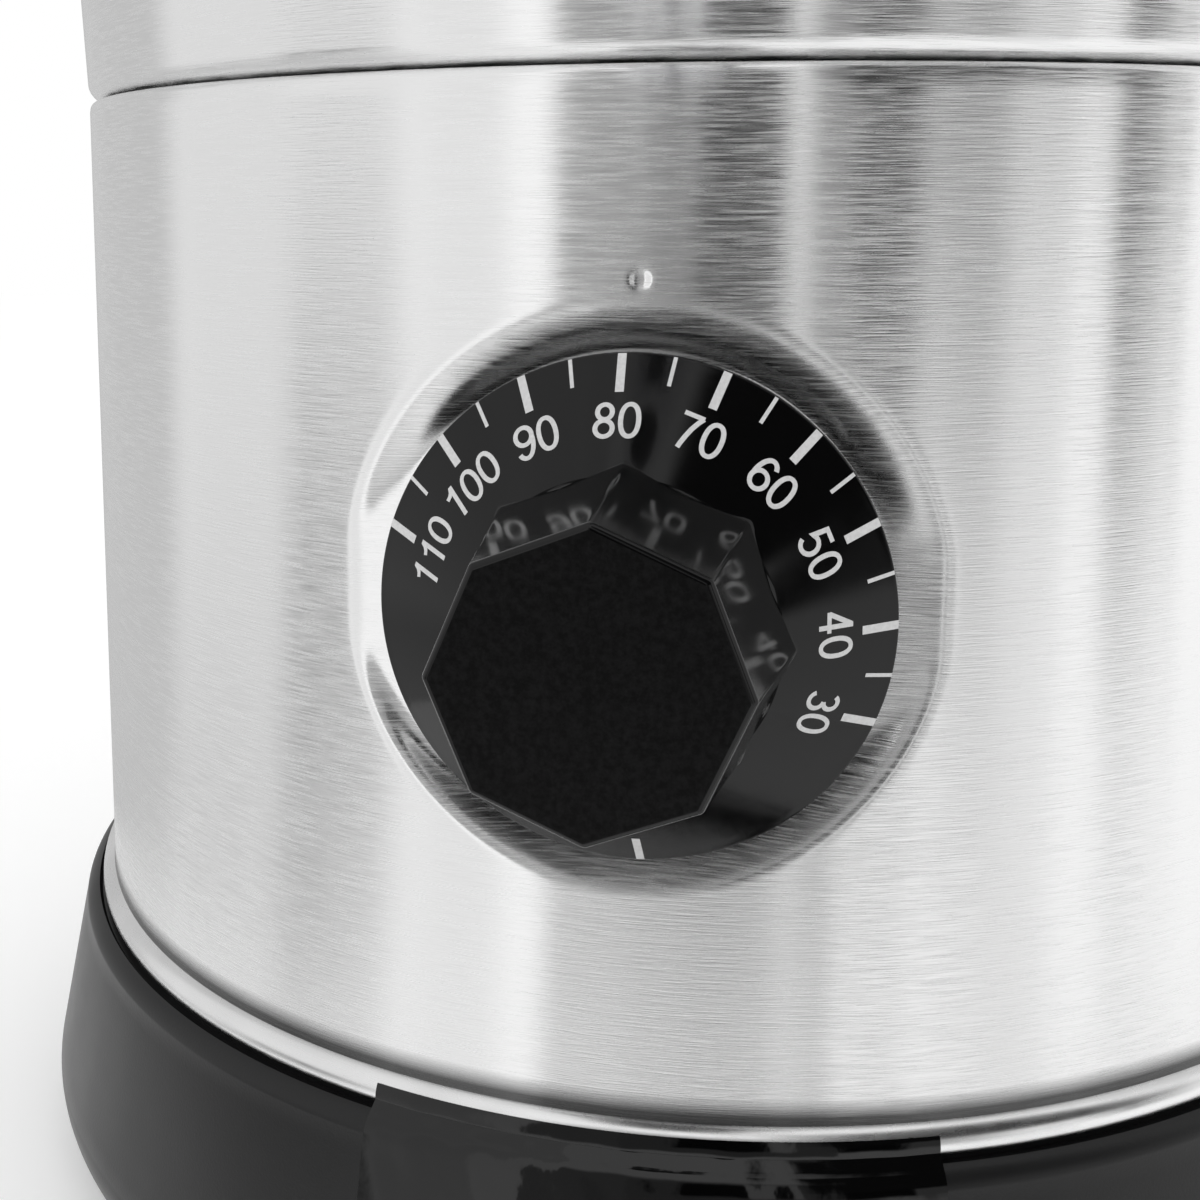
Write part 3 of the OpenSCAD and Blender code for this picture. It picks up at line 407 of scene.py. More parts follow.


# Painted shade: the hollow between the drum and the bead is coloured dark grey (0.12) over the steel, where
# the crease lies in shadow.
hollow_painted_shade = (bead_c_z, hollow_z - 0.2 * MM, 1.3 * MM, 0.12)
body_steel = brushed_steel("brushed steel of the drum", grey(0.92), grey(0.97), 0.22, 0.00004, 1.0,
                           (hollow_painted_shade,))


def polished_steel(name, level, roughness, waviness):
    """Polished steel: fine swirls in the roughness and a faint unevenness from the press."""
    material, tree, shader = new_material(name, grey(level), Metallic=1.0)
    swirl = noise(tree, 200, 2.0, 0.5, (1, 1, 6))
    clouds = spread(tree, noise(tree, 60, 2), 0.35, 0.65, 0, 1)
    drive(shader, Roughness=spread(tree, swirl, 0.3, 0.7, roughness * 0.9, roughness * 1.15),
          Base_Color=colour_mix(tree, clouds, grey(level * 0.9), grey(level)))
    bump(shader, noise(tree, 120, 1), waviness)
    return material


bead_steel = polished_steel("polished steel of the bead", 0.95, 0.26, 0.000005)
print("materials:", len(bpy.data.materials))

# %% [markdown]
# ## The lower shell and its pressed recess
# The lower shell is one sheet: a slender cone with a rolled edge at the top, a hollow and a round bead at
# the foot, and a flat seat for the dial pressed into the front. A square grid would cut the round edge of
# the seat into steps. So the front is a patch whose rings are circles at the seat and widen to a square,
# and the rest of the shell is a plain grid that joins the square point by point. The press leaves no sharp
# edge, so the depth is evened out over a small disc round each point.

# %% Lower shell
patch_half = 46 * MM
patch_count = 64
recess_side_r = 36.6 * MM
recess_top_r = 34.9 * MM
recess_shift = np.array([-0.8, 0.1]) * MM
wall_slope = 0.42
low_wall_slope = 0.64
corner_slope = 0.32
seat_turn_x = np.array([-60, -24, -13]) * MM
seat_turn_y = np.array([-2.3, 0.51, 0]) * MM
seat_upright_r = 27.6 * MM
seat_leaning_r = 30.5 * MM
steep_r = 31.4 * MM
steep_slope = 2.2
press_softness = 1.1 * MM
side_softness = 2.2 * MM
shaft_hole_r = 4.5 * MM
dimple_lift = 37.6 * MM
dimple_r = 1.1 * MM
dimple_depth = 0.26 * MM
back_count = 181
inlet_z = 84 * MM
inlet_half = (13.7 * MM, 8.9 * MM)
reset_z = 132 * MM
reset_half = (6 * MM, 4.5 * MM)


def smooth_step(x, low, high):
    """Rises from 0 to 1 between low and high with level ends: 6 t^5 - 15 t^4 + 10 t^3."""
    t = np.clip((x - low) / (high - low), 0, 1)
    return t * t * t * (t * (6 * t - 15) + 10)


def pushed_in(x, up):
    """How far the press moves the drum's wall in, at x across and up from the dial's axis: down a gentle
    slope from the recess's outline, steeply beside the dial's rim, but no deeper than the seat. The slope
    grows to the bottom, and once more to the lower left. The outline's radius goes from its side value to
    its top value with the square of the cosine and of the sine. The seat's ring leans as the drum does, its
    upper middle stands upright where the thermostat is screwed on, and its left is turned a little. Where
    the drum lies behind the seat, nothing moves."""
    radius = shell_radius(up + dial_z)
    wall = np.sqrt(radius ** 2 - x ** 2)
    across = x - recess_shift[0]
    lift = up - recess_shift[1]
    away = np.hypot(across, lift)
    sideways = (across / away) ** 2
    outline = recess_side_r * sideways + recess_top_r * (1 - sideways)
    leaning = np.where(up > 0, smooth_step(away, seat_upright_r, seat_leaning_r), 1)
    lean = (radius - shell_radius(dial_z)) * leaning
    seat = recess_depth_y + np.interp(x, seat_turn_x, seat_turn_y) + lean
    steep = steep_slope * np.clip(lift / away, 0, 1) * np.clip(steep_r - away, 0, None)
    slope = wall_slope + (low_wall_slope - wall_slope) * np.clip(-2 * lift / away, 0, 1)
    slope = slope + corner_slope * np.clip(-lift / away, 0, 1) * np.clip(-2 * across / away, 0, 2)
    return np.clip(np.minimum(wall - seat, slope * (outline - away) + steep), 0, None)


def press_front(side, height):
    """Points of the shell's front: side is the distance along the drum from the middle. The drum lies at
    the angle side / radius. Sheet steel bends softly, so the depth is the mean of the sharp-edged depths
    over a small disc round the point: rings of offsets, weighted by exp(-2 (r / R)^2)."""
    radius = shell_radius(height)
    turn = side / radius
    x = radius * np.sin(turn)
    up = height - dial_z
    ring, angle = np.meshgrid(np.arange(1, 6) / 5, full_turn(18), indexing="ij")
    weight = (ring * np.exp(-2 * ring ** 2)).reshape(-1, 1, 1)
    sideways = (x / np.hypot(x, up)) ** 2
    reach = ring.reshape(-1, 1, 1) * (press_softness + (side_softness - press_softness) * sideways)
    angle = angle.reshape(-1, 1, 1)
    depth = pushed_in(x + reach * np.cos(angle), up + reach * np.sin(angle))
    out = radius * np.cos(turn) - (weight * depth).sum(axis=0) / weight.sum()
    dent = np.hypot(x, up - dimple_lift) / dimple_r
    out = out - dimple_depth * np.exp(-dent ** 4)
    return np.stack([x, -out, height], axis=-1)


def side_marks(count):
    """Marks from -1 to 1, closest in the middle, where the dimple needs them: a t + (1 - a) t^3."""
    t = np.linspace(-1, 1, count + 1)
    return 0.3 * t + 0.7 * t ** 3


def front_patch():
    """Rings round the dial's axis: circles over the recess, then a blend to the patch's square."""
    level = side_marks(patch_count)[:-1]
    even = np.linspace(-1, 1, patch_count + 1)[:-1]
    one = np.ones(patch_count)
    square = np.concatenate([
        np.column_stack([level, one]), np.column_stack([one, -even]),
        np.column_stack([-level, -one]), np.column_stack([-one, even])]) * patch_half
    circle = unit(square)
    radii = np.concatenate([np.linspace(shaft_hole_r, 14 * MM, 4), np.arange(15, 28.1, 0.9) * MM,
                            np.arange(28.5, 39.1, 0.35) * MM])
    inner = radii[:, None, None] * circle[None]
    blend = np.linspace(0, 1, 10)[1:, None, None]
    outer = inner[-1][None] * (1 - blend) + square[None] * blend
    rings = np.concatenate([inner, outer])
    return press_front(rings[..., 0], rings[..., 1] + dial_z)


patch_low_z = dial_z - patch_half
patch_high_z = dial_z + patch_half

# %% [markdown]
# The rest of the drum is three bands: one above the patch, one below it with the hollow and the bead, and
# one beside it that goes round the back. The angle of each column is the distance along the drum over the
# radius, as in the patch, so the edges meet exactly and merging the doubled points welds them.

# %% Bands round the patch
def back_turns(radius):
    """The angles of the columns round the back, evenly from one edge of the patch to the other."""
    edge = patch_half / radius[:, None]
    return edge + np.linspace(0, 1, back_count) * (2 * math.pi - 2 * edge)


def around_axis(radius, turn, height):
    """Points at a radius and a height, with the turn measured from the front: (r sin t, -r cos t, z)."""
    radius, turn, height = np.broadcast_arrays(radius, turn, height)
    return np.stack([radius * np.sin(turn), -radius * np.cos(turn), height], axis=-1)


def behind_opening(middle, height, half):
    """Marks the places at the back in a box round a height. Half is its half width and height."""
    inside = (np.abs(middle[:, 0]) < half[0]) & (np.abs(middle[:, 2] - height) < half[1])
    return (middle[:, 1] > 0) & inside


def shell_band(profile):
    """A band all round: the profile at every column. In front a column's angle is side / radius."""
    radius = shell_radius(np.clip(profile[:, 1], patch_low_z, patch_high_z))
    turn = np.hstack([marks / radius[:, None], back_turns(radius)[:, 1:-1]])
    return around_axis(profile[:, :1], turn, profile[:, 1:])


marks = side_marks(patch_count) * patch_half
bead_arc = arc(bead_c_r, bead_c_z, bead_r, 72, -12, 22)
high_heights = np.linspace(patch_high_z, seam_z - low_roll_r - 0.2 * MM, 9)
high_profile = np.vstack([
    np.column_stack([shell_radius(high_heights), high_heights]),
    arc(body_r - low_roll_r, seam_z - low_roll_r, low_roll_r, 0, 90, 12), [[body_r - flange_w, seam_z]]])
low_heights = np.linspace(patch_low_z, hollow_z, 9)
low_profile = np.vstack([
    np.column_stack([shell_radius(low_heights), low_heights])[:-1],
    [[foot_r, hollow_z]], line([foot_r + 0.04 * MM, hollow_z - 0.6 * MM], bead_arc[0], 4)[:-1], bead_arc])
mid_heights = dial_z + np.linspace(-patch_half, patch_half, patch_count + 1)
mid_radius = shell_radius(mid_heights)
mid_band = around_axis(mid_radius[:, None], back_turns(mid_radius), mid_heights[:, None])
mid_faces = grid_faces(*mid_band.shape[:2])
mid_middle = mid_band.reshape(-1, 3)[mid_faces].mean(axis=1)
opened = behind_opening(mid_middle, inlet_z, inlet_half) | behind_opening(mid_middle, reset_z, reset_half)
mid_faces = mid_faces[~opened]
lower_shell = make_piece("shell_lower", *join_grids(
    rings_joined(front_patch()), rings_joined(shell_band(high_profile)),
    rings_joined(shell_band(low_profile)), (mid_band, mid_faces)),
    slot="body_steel", sharp=50, materials=(body_steel, bead_steel))
paint_faces(lower_shell, face_centres(lower_shell)[:, 2] < bead_arc[0, 1])
thicken = lower_shell.modifiers.new("sheet", "SOLIDIFY")
thicken.thickness = sheet
thicken.offset = -1
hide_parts("lower_shell")
print("lower shell:", len(lower_shell.data.polygons), "faces")

# %% [markdown]
# ## The outer shell
# The upper drum is turned from its outline: the flange and the rolled edge that rest on the seam, the wall,
# and the small bend at the top under the rim of the tank.

# %% Outer shell
drum_h = 260 * MM
shell_top_z = seam_z + drum_h - 3 * MM
tank_r = body_r - sheet - 4.2 * MM
outer_path = np.vstack([
    [[body_r - flange_w, seam_z + seam_gap]],
    arc(body_r - roll_r, seam_z + seam_gap + roll_r, roll_r, -90, 0, 12),
    line([body_r, seam_z + seam_gap + roll_r + 0.2 * MM], [body_r, shell_top_z - 1.7 * MM], 24),
    arc(body_r - 1.5 * MM, shell_top_z - 1.5 * MM, 1.5 * MM, 0, 90, 8),
    [[tank_r + 0.3 * MM, shell_top_z]]])
outer_shell = make_piece("shell_upper", *turned(sheet_outline(outer_path, sheet)), slot="body_steel",
                         sharp=50, materials=(body_steel,))
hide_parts("outer_shell")

# %% [markdown]
# ## The base
# The base is moulded in black plastic. Its outline is a shoulder, a flank that flares outwards and a round
# lower edge. The mould was eroded by sparks, which leaves a fine even grain; it shows as small bumps in a
# satin gloss.

# %% Base
def satin_plastic(name, colour, roughness, grain, depth, gloss=0.5):
    """Moulded plastic: a satin gloss with fine bumps, and a little unevenness in the gloss."""
    material, tree, shader = new_material(name, colour, IOR=1.5, Specular_IOR_Level=gloss)
    cells = noise(tree, grain, 2.0, 0.55)
    patches = noise(tree, 45, 3.0, 0.6)
    drive(shader, Roughness=spread(tree, patches, 0.3, 0.7, roughness - 0.03, roughness + 0.03))
    bump(shader, cells, depth)
    return material


base_plastic = satin_plastic("satin black plastic", (0.008, 0.008, 0.0083), 0.36, 2600, 0.00002, 0.35)
base_bottom_z = base_c_z - base_edge_r
base_mouth_r = base_c_r - 5.5 * MM
flank_tilt = math.radians(base_slope)
flank_top_r = lip_r + shoulder_r * math.cos(flank_tilt)
flank_top_z = lip_z - shoulder_r + shoulder_r * math.sin(flank_tilt)
groove_z = lip_z - 1 * MM
web_z = foot_z - 2.8 * MM
web_in_r = 82 * MM
base_outline = np.vstack([
    [[lip_r - 0.4 * MM, foot_z], [lip_r - 0.4 * MM, groove_z], [lip_r + 0.8 * MM, groove_z]],
    arc(lip_r, lip_z - shoulder_r, shoulder_r, 69, base_slope, 12),
    line([flank_top_r, flank_top_z - 0.1 * MM], [base_r, base_wide_z + 0.1 * MM], 12),
    arc(base_c_r, base_c_z, base_edge_r, base_slope, -90, 24),
    [[base_mouth_r, base_bottom_z], [base_mouth_r, base_bottom_z + base_wall],
     [base_c_r, base_bottom_z + base_wall]],
    arc(base_c_r, base_c_z, base_edge_r - base_wall, -90, base_slope, 16),
    [[flank_top_r - base_wall, foot_z - 4.3 * MM], [lip_r - 1 * MM, web_z], [web_in_r, web_z],
     [web_in_r, foot_z]]])
base = make_piece("base_moulding", *turned(base_outline), slot="base_plastic", sharp=40,
                  materials=(base_plastic,))
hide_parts("base_housing")

# %% [markdown]
# ## The dial
# The dial and its grip are one moulding. The dial is turned about the shaft: a thin rim and a cone. The
# grip is an eight-sided tower that narrows to the front. Each of its corners is a small arc and its front
# edge is rounded, so that light can catch on them. `from_front` lays a point of the dial (right, up,
# outwards) into the kettle's frame.

# %% Dial
grip_turn = 88.6
corner_r = 0.8 * MM
front_round = 0.9 * MM
foot_hollow = 0.3 * MM
hub_bore_r = 3.05 * MM
hub_r = 7 * MM
hub_back = -7.4 * MM
hub_front = 7.6 * MM
cone_under_in_r = 13 * MM
cone_under_out_r = 27.8 * MM
rim_round = 0.2 * MM
cone_top_r = 18 * MM
cone_top = (dial_r - cone_top_r) * dial_slope


def from_front(points):
    """(right, up, outwards from the rim's plane) of the dial becomes (x, y, z) of the kettle."""
    points = np.asarray(points)
    return np.stack([points[..., 0], -dial_y - points[..., 2], dial_z + points[..., 1]], axis=-1)


def eight_sides(radius, corner, height):
    """One ring of the grip: eight corner arcs of 45 degrees, and three points on each flat."""
    middle = np.radians(grip_turn + 45 * np.arange(8))
    sweep = np.radians(np.linspace(-22.5, 22.5, 7))
    centre = (radius - corner) * np.stack([np.cos(middle), np.sin(middle)], axis=-1)
    angle = middle[:, None] + sweep[None, :]
    arcs = centre[:, None, :] + corner * np.stack([np.cos(angle), np.sin(angle)], axis=-1)
    share = np.array([0.04, 0.5, 0.96])[None, :, None]
    flats = arcs[:, -1:, :] * (1 - share) + np.roll(arcs, -1, axis=0)[:, :1, :] * share
    ring = np.concatenate([arcs, flats], axis=1).reshape(-1, 2)
    return np.column_stack([ring, np.full(len(ring), height)])


dial_outline = np.vstack([
    [[hub_bore_r, hub_back], [hub_r, hub_back], [hub_r, hub_front], [cone_under_in_r, hub_front],
     [cone_under_out_r, -dial_edge]],
    arc(dial_r - rim_round, rim_round - dial_edge, rim_round, -90, 0, 4),
    arc(dial_r - rim_round, -0.15 * MM, rim_round, 0, 53, 5),
    line([dial_r - 0.3 * MM, 0.16 * MM], [cone_top_r, cone_top], 16), [[hub_bore_r, cone_top]]])
dial_points, dial_faces = turned(dial_outline)


def side_radius(height):
    """The grip narrows evenly from its foot on the cone to its front."""
    share = (height - cone_h) / (grip_h - front_round - cone_h)
    return grip_base_r + (grip_front_r - grip_base_r) * share


def foot_ring(a):
    """One ring of the small hollow between the cone and the grip: out by f (1 - sin a), up the cone by f (1
    - cos a). The cone is higher at the flats than at the corners, so each point finds its own height."""
    ring = eight_sides(grip_base_r, corner_r, 0)[:, :2]
    height = np.full(len(ring), cone_h)
    for _ in range(4):
        scale = (side_radius(height) + foot_hollow * (1 - math.sin(a))) / grip_base_r
        reach = np.hypot(ring[:, 0], ring[:, 1]) * scale
        height = (dial_r - reach) * dial_slope + foot_hollow * (1 - math.cos(a)) - 0.02 * MM
    return np.column_stack([ring * scale[:, None], height])


levels = np.linspace(cone_h + 2.4 * MM, grip_h - front_round, 12)
edge = np.radians(np.linspace(0, 90, 8)[1:])
grip_rings = [foot_ring(a) for a in np.radians(np.linspace(0, 90, 7))]
grip_rings += [eight_sides(side_radius(h), corner_r, h) for h in levels]
for a in edge:
    back = front_round * (1 - math.cos(a))
    grip_rings.append(eight_sides(grip_front_r - back, corner_r - 0.7 * back,
                                  grip_h - front_round * (1 - math.sin(a))))
grip_points = from_front(np.array(grip_rings))
grip_count = grip_points.shape[1]
grip_ends = np.arange(grip_count) + np.array([[0], [(len(grip_rings) - 1) * grip_count]])

gloss_black, tree, shader = new_material("glossy black moulding", (0.002, 0.002, 0.0021), IOR=1.5,
                                         Specular_IOR_Level=0.32)
drive(shader, Roughness=spread(tree, noise(tree, 260, 4.0, 0.65), 0.35, 0.7, 0.09, 0.14))
bump(shader, noise(tree, 160, 2.0), 0.000003)
matt_black, tree, shader = new_material("matt black moulding", (0.005, 0.005, 0.0052), IOR=1.5,
                                        Specular_IOR_Level=0.1)
blotches = noise(tree, 1500, 4.0, 0.65)
shade = spread(tree, blotches, 0.38, 0.66, 0, 1)
drive(shader, Base_Color=colour_mix(tree, shade, grey(0.0015), (0.0055, 0.0055, 0.0057)),
      Roughness=spread(tree, blotches, 0.35, 0.65, 0.62, 0.5))
knob = make_piece("dial_and_grip", *join_grids(
    (from_front(dial_points), dial_faces), (*rings_joined(grip_points), grip_ends)),
    body="dial", slot="knob_plastic", sharp=30, materials=(gloss_black, matt_black))
paint_faces(knob, face_centres(knob)[:, 1] < -dial_y - grip_h + 0.05 * MM)
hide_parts("knob")

# %% [markdown]
# ## The print on the dial
# The numerals are drawn as a sign writer would: each one is a few strokes of one width, and a stroke is a
# thin bar that follows a line. The lines are given in a box one unit high. Every numeral is laid flat on
# the cone with its top to the rim.

# %% Print
digit_h = 4.45 * MM
digit_step = 2.78 * MM
stroke_w = 0.55 * MM
print_lift = 0.03 * MM
print_r = 23.3 * MM
first_angle = -0.037
angle_step = 0.397
cone_run = 1 / math.hypot(1, dial_slope)
digit_mid = 0.2925
long_tick = (3.9 * MM, 0.98 * MM)
short_tick = (2.95 * MM, 0.44 * MM)


def oval(centre_x, centre_z, half_w, half_h, start=0, stop=360, count=25, squareness=1.0):
    """Points on an oval, from angle to angle. A squareness q below 1 fills its corners: sign(c) |c|^q."""
    a = np.radians(np.linspace(start, stop, count))
    c, s = np.cos(a), np.sin(a)
    return np.column_stack([centre_x + half_w * np.sign(c) * np.abs(c) ** squareness,
                            centre_z + half_h * np.sign(s) * np.abs(s) ** squareness])


six = [oval(digit_mid, 0.31, 0.22, 0.25),
       np.vstack([oval(0.305, 0.67, 0.2, 0.27, 25, 90, 8),
                  oval(0.305, 0.47, 0.235, 0.47, 92, 190, 14)])]
digits = {
    "0": [oval(digit_mid, 0.5, 0.22, 0.44, squareness=0.9, count=33)],
    "1": [[[0.37, 0], [0.37, 1]], [[0.12, 0.725], [0.24, 0.77], [0.32, 0.85], [0.37, 0.97]]],
    "3": [oval(0.28, 0.73, 0.185, 0.21, 155, -86, 17), oval(0.28, 0.28, 0.215, 0.23, 86, -155, 17)],
    "4": [[[0.39, 0], [0.39, 1]], [[0.375, 0.955], [0.06, 0.3]], [[0.02, 0.3], [0.54, 0.3]]],
    "5": [np.vstack([[[0.49, 0.94], [0.16, 0.94], [0.115, 0.52]],
                     oval(0.28, 0.325, 0.225, 0.265, 128, -150, 19)])],
    "6": six,
    "7": [[[0.03, 0.945], [0.55, 0.945]],
          [[0.53, 0.945], [0.43, 0.78], [0.34, 0.58], [0.27, 0.36], [0.22, 0.16], [0.19, 0]]],
    "8": [oval(digit_mid, 0.735, 0.185, 0.205), oval(digit_mid, 0.28, 0.215, 0.22)],
    "9": [[2 * digit_mid, 1] - part for part in six],
}


def bar_along(path, width, low, high):
    """A bar of box section along a line in the plane, capped unless the line closes."""
    path = np.asarray(path, dtype=float)
    loop = np.allclose(path[0], path[-1])
    mitre = mitres(path, loop) * width / 2
    if loop:
        path, mitre = path[:-1], mitre[:-1]
    rows = [np.column_stack([path + sign * mitre, np.full(len(path), h)])
            for sign, h in ((1, low), (-1, low), (-1, high), (1, high))]
    faces = grid_faces(4, len(path), (True, loop))
    if not loop:
        n = len(path)
        faces = np.vstack([faces, [[0, n, 2 * n, 3 * n], [4 * n - 1, 3 * n - 1, 2 * n - 1, n - 1]]])
    return np.array(rows), faces


def on_cone(points, angle, radius):
    """Lays (across, up, lift) on the cone, clockwise from the top, with up pointing to the rim."""
    out = radius + points[..., 1] * cone_run
    x = out * math.sin(angle) + points[..., 0] * math.cos(angle)
    y = out * math.cos(angle) - points[..., 0] * math.sin(angle)
    height = (dial_r - np.hypot(x, y)) * dial_slope + points[..., 2]
    return from_front(np.stack([x, y, height], axis=-1))


def tick(length, width, angle):
    """A bar on the cone that ends just inside the rim."""
    bar, faces = bar_along([[0, -length / cone_run], [0, -0.02 * MM]], width, -print_lift, print_lift)
    return on_cone(bar, angle, dial_r), faces


def numeral(number, angle):
    """The bars of a number's digits, side by side. Later strokes lie a hair higher, so none flicker."""
    text = str(number)
    bars = []
    for k, digit in enumerate(text):
        shift = (k - (len(text) - 1) / 2) * digit_step - digit_mid * digit_h
        for m, path in enumerate(digits[digit]):
            path = np.asarray(path) * digit_h + [shift, -digit_h / 2]
            bar, faces = bar_along(path, stroke_w, -print_lift, print_lift + m * 0.002 * MM)
            bars.append((on_cone(bar, angle, print_r), faces))
    return bars


print_grids = []
for i, number in enumerate(range(110, 20, -10)):
    angle = first_angle + (i - 3) * angle_step
    print_grids.append(tick(*long_tick, angle))
    if number > 30:
        print_grids.append(tick(*short_tick, angle + angle_step / 2))
    print_grids += numeral(number, angle)
print_grids.append(tick(*long_tick, first_angle + math.pi))
print_grey, tree, shader = new_material("grey print", grey(0.60), Roughness=0.45, IOR=1.5)
shade = spread(tree, noise(tree, 2500, 2), 0.3, 0.7, 0, 1)
drive(shader, Base_Color=colour_mix(tree, shade, grey(0.56), grey(0.66)))
dial_print = make_piece("dial_print", *join_grids(*print_grids), body="dial", slot="knob_plastic", sharp=30,
                        materials=(print_grey,))
print("print:", len(dial_print.data.polygons), "faces")

# %% [markdown]
# ## The film
# A strip of glossy film is stuck over the bead and the shoulder of the base. It was pressed on by hand, so
# it bridges the gap between them and lies in shallow waves, which bend the reflections. Its waves fade out
# at the edges, where it is stuck down, and never reach below the surface.

# %% Film
film_t = 0.25 * MM
film_from = -17
film_to = 19
film_gap = 0.05 * MM
film_low_z = base_wide_z + 5 * MM


def film_path():
    """From the flank of the base up over its shoulder, across the gap and onto the bead."""
    low_r = base_r - (film_low_z - base_wide_z) * math.tan(flank_tilt)
    shoulder = arc(lip_r, lip_z - shoulder_r, shoulder_r + film_gap, base_slope, 58, 8)
    flank = line([low_r + film_gap, film_low_z], shoulder[0], 40)[:-1]
    bead = arc(bead_c_r, bead_c_z, bead_r + film_gap, -6, 35, 14)
    bridge = line(shoulder[-1], bead[0], 6)[1:-1]
    return np.vstack([flank, shoulder, bridge, bead])


film_line = film_path()
film_step = unit(np.gradient(film_line, axis=0))
film_out = np.column_stack([film_step[:, 1], -film_step[:, 0]])
film_turn = np.radians(np.linspace(film_from, film_to, 161))
along = np.concatenate([[0], np.cumsum(np.linalg.norm(np.diff(film_line, axis=0), axis=1))])
place, across = np.meshgrid(along, film_turn * bead_out_r, indexing="ij")
waves = (np.sin(across * 420 + 2.1 * np.sin(place * 300)) * np.sin(place * 260 + 1.3 * np.sin(across * 170))
         + 0.6 * np.sin(across * 910 + place * 240 + 1.7))
fade = smooth_step(place, 0, 4 * MM) * smooth_step(along[-1] - place, 0, 3 * MM)
fade = fade * smooth_step(across[:1].max() - np.abs(across), 0, 4 * MM)
film_rise = film_t + 0.05 * MM * (1.2 + waves) * fade
film_front = film_line[:, None, :] + film_out[:, None, :] * film_rise[..., None]
film_back = np.broadcast_to(film_line[:, None, :], film_front.shape)
film_grid = np.concatenate([film_front, film_back[::-1]])
film_points = around_axis(film_grid[..., 0], film_turn[None, :], film_grid[..., 1])
film_rows = len(film_points)
row = np.arange(film_rows // 2 - 1)[:, None]
film_ends = np.hstack([row, row + 1, film_rows - 2 - row, film_rows - 1 - row]) * len(film_turn)
film_black, tree, shader = new_material("glossy black film", (0.0015, 0.0015, 0.0016), IOR=1.5,
                                        Roughness=0.06)
bump(shader, noise(tree, 220, 3.0, 0.55), 0.00004)
film = make_piece("base_film", film_points, grid_faces(film_rows, len(film_turn), (True, False)), film_ends,
                  film_ends + len(film_turn) - 1, slot="film", sharp=40, materials=(film_black,))
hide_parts("label_film")

# %% [markdown]
# ## The handles
# Each handle is an oval bar swept along a line: a straight leg, a quarter bend, a faintly bowed middle, and
# the same mirrored. The bar is thickest in the middle and swells to a collar at the feet. The sizes follow
# the place along the bar, counted in stations, from 0 at one foot to 18 at the other. A screw hole goes
# into each foot.

# %% Handles
handle_z = seam_z + 205 * MM
handle_foot_y = 42 * MM
handle_foot_x = math.sqrt(body_r ** 2 - handle_foot_y ** 2) + 4.1 * MM
handle_mid_x = body_r + 36 * MM
bend_r = 20 * MM
screw_hole_r = 2.55 * MM
screw_hole_depth = 14 * MM
bar_around = 48
bar_bow = 1.4 * MM


def handle_line():
    """One half of the bar's middle line, with stations: the leg, the bend and half of the bow."""
    bend = np.radians(np.linspace(0, 90, 25))
    bow = np.linspace(0, 1, 13)[1:]
    x = np.concatenate([np.linspace(handle_foot_x, handle_mid_x - bend_r, 12)[:-1],
                        handle_mid_x - bend_r * (1 - np.sin(bend)),
                        handle_mid_x + bar_bow * np.sin(bow * math.pi / 2)])
    y = np.concatenate([np.full(11, -handle_foot_y), -handle_foot_y + bend_r * (1 - np.cos(bend)),
                        (bend_r - handle_foot_y) * (1 - bow)])
    station = np.concatenate([np.linspace(0, 1, 12)[:-1], 1 + 6 * bend / bend[-1], 7 + 2 * bow])
    return x, y, station


def handle_rings():
    """Oval rings square to the line: tall half-axis 10.5 - 2 f + 25 c, flat half-axis 7.5 + 1.5 f + 10 c,
    where f is the distance from the middle and c its excess over 0.9. The end rings line the holes."""
    x, y, station = handle_line()
    x = np.concatenate([x, x[-2::-1]])
    y = np.concatenate([y, -y[-2::-1]])
    station = np.concatenate([station, 18 - station[-2::-1]])
    far = np.abs(station / 9 - 1)
    collar = 10 * np.clip(far - 0.9, 0, None)
    tall = (10.5 - 2 * far + 2.5 * collar) * MM
    flat = (7.5 + 1.5 * far + collar) * MM
    along = np.gradient(np.column_stack([x, y]), axis=0)
    along[[0, -1]] = [[1, 0], [-1, 0]]
    along = unit(along)
    turn = full_turn(bar_around)
    side = flat[:, None] * np.sin(turn)
    rings = np.stack([x[:, None] - along[:, 1:] * side, y[:, None] + along[:, :1] * side,
                      tall[:, None] * np.cos(turn)], axis=-1)
    mouth = np.array([rings[0], rings[-1]])
    centre = np.array([[[x[0], y[0], 0]], [[x[-1], y[-1], 0]]])
    mouth = centre + screw_hole_r * unit(mouth - centre)
    floor = mouth + [screw_hole_depth, 0, 0]
    return np.concatenate([floor[:1], mouth[:1], rings, mouth[1:], floor[1:]])


bar = handle_rings()
bar_ends = np.arange(bar_around) + np.array([[0], [(len(bar) - 1) * bar_around]])
handle_plastic = satin_plastic("satin black handles", (0.014, 0.014, 0.0145), 0.30, 1500, 0.00002)
for name, sign in (("left", -1), ("right", 1)):
    points = bar * [sign, sign, 1] + [0, 0, handle_z]
    handle = make_piece("bar_" + name, *rings_joined(points), bar_ends, slot="knob_plastic", sharp=40,
                        materials=(handle_plastic,))
    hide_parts("handle_" + name)

# %% [markdown]
# ## Finishes of the other pieces
# The pieces that are right as solids keep their shape and get a finish each. A finish is a base colour with
# a fine pattern in its gloss and its height, at the size that the real one has: the grain of moulded
# plastic, the lathe marks on a screw, the pores of rubber, the fibres of mineral wool.

# %% Finishes
def finish(name, dark, light, grain, roughness, depth, stretch=(1, 1, 1), detail=3.0, **constants):
    """Two shades, a gloss between two values and a bump, all from the same noise."""
    material, tree, shader = new_material(name, light, **constants)
    pattern = noise(tree, grain, detail, 0.55, stretch)
    shade = spread(tree, pattern, 0.35, 0.65, 0, 1)
    drive(shader, Base_Color=colour_mix(tree, shade, dark, light),
          Roughness=spread(tree, pattern, 0.3, 0.7, *roughness))
    bump(shader, pattern, depth)
    return material


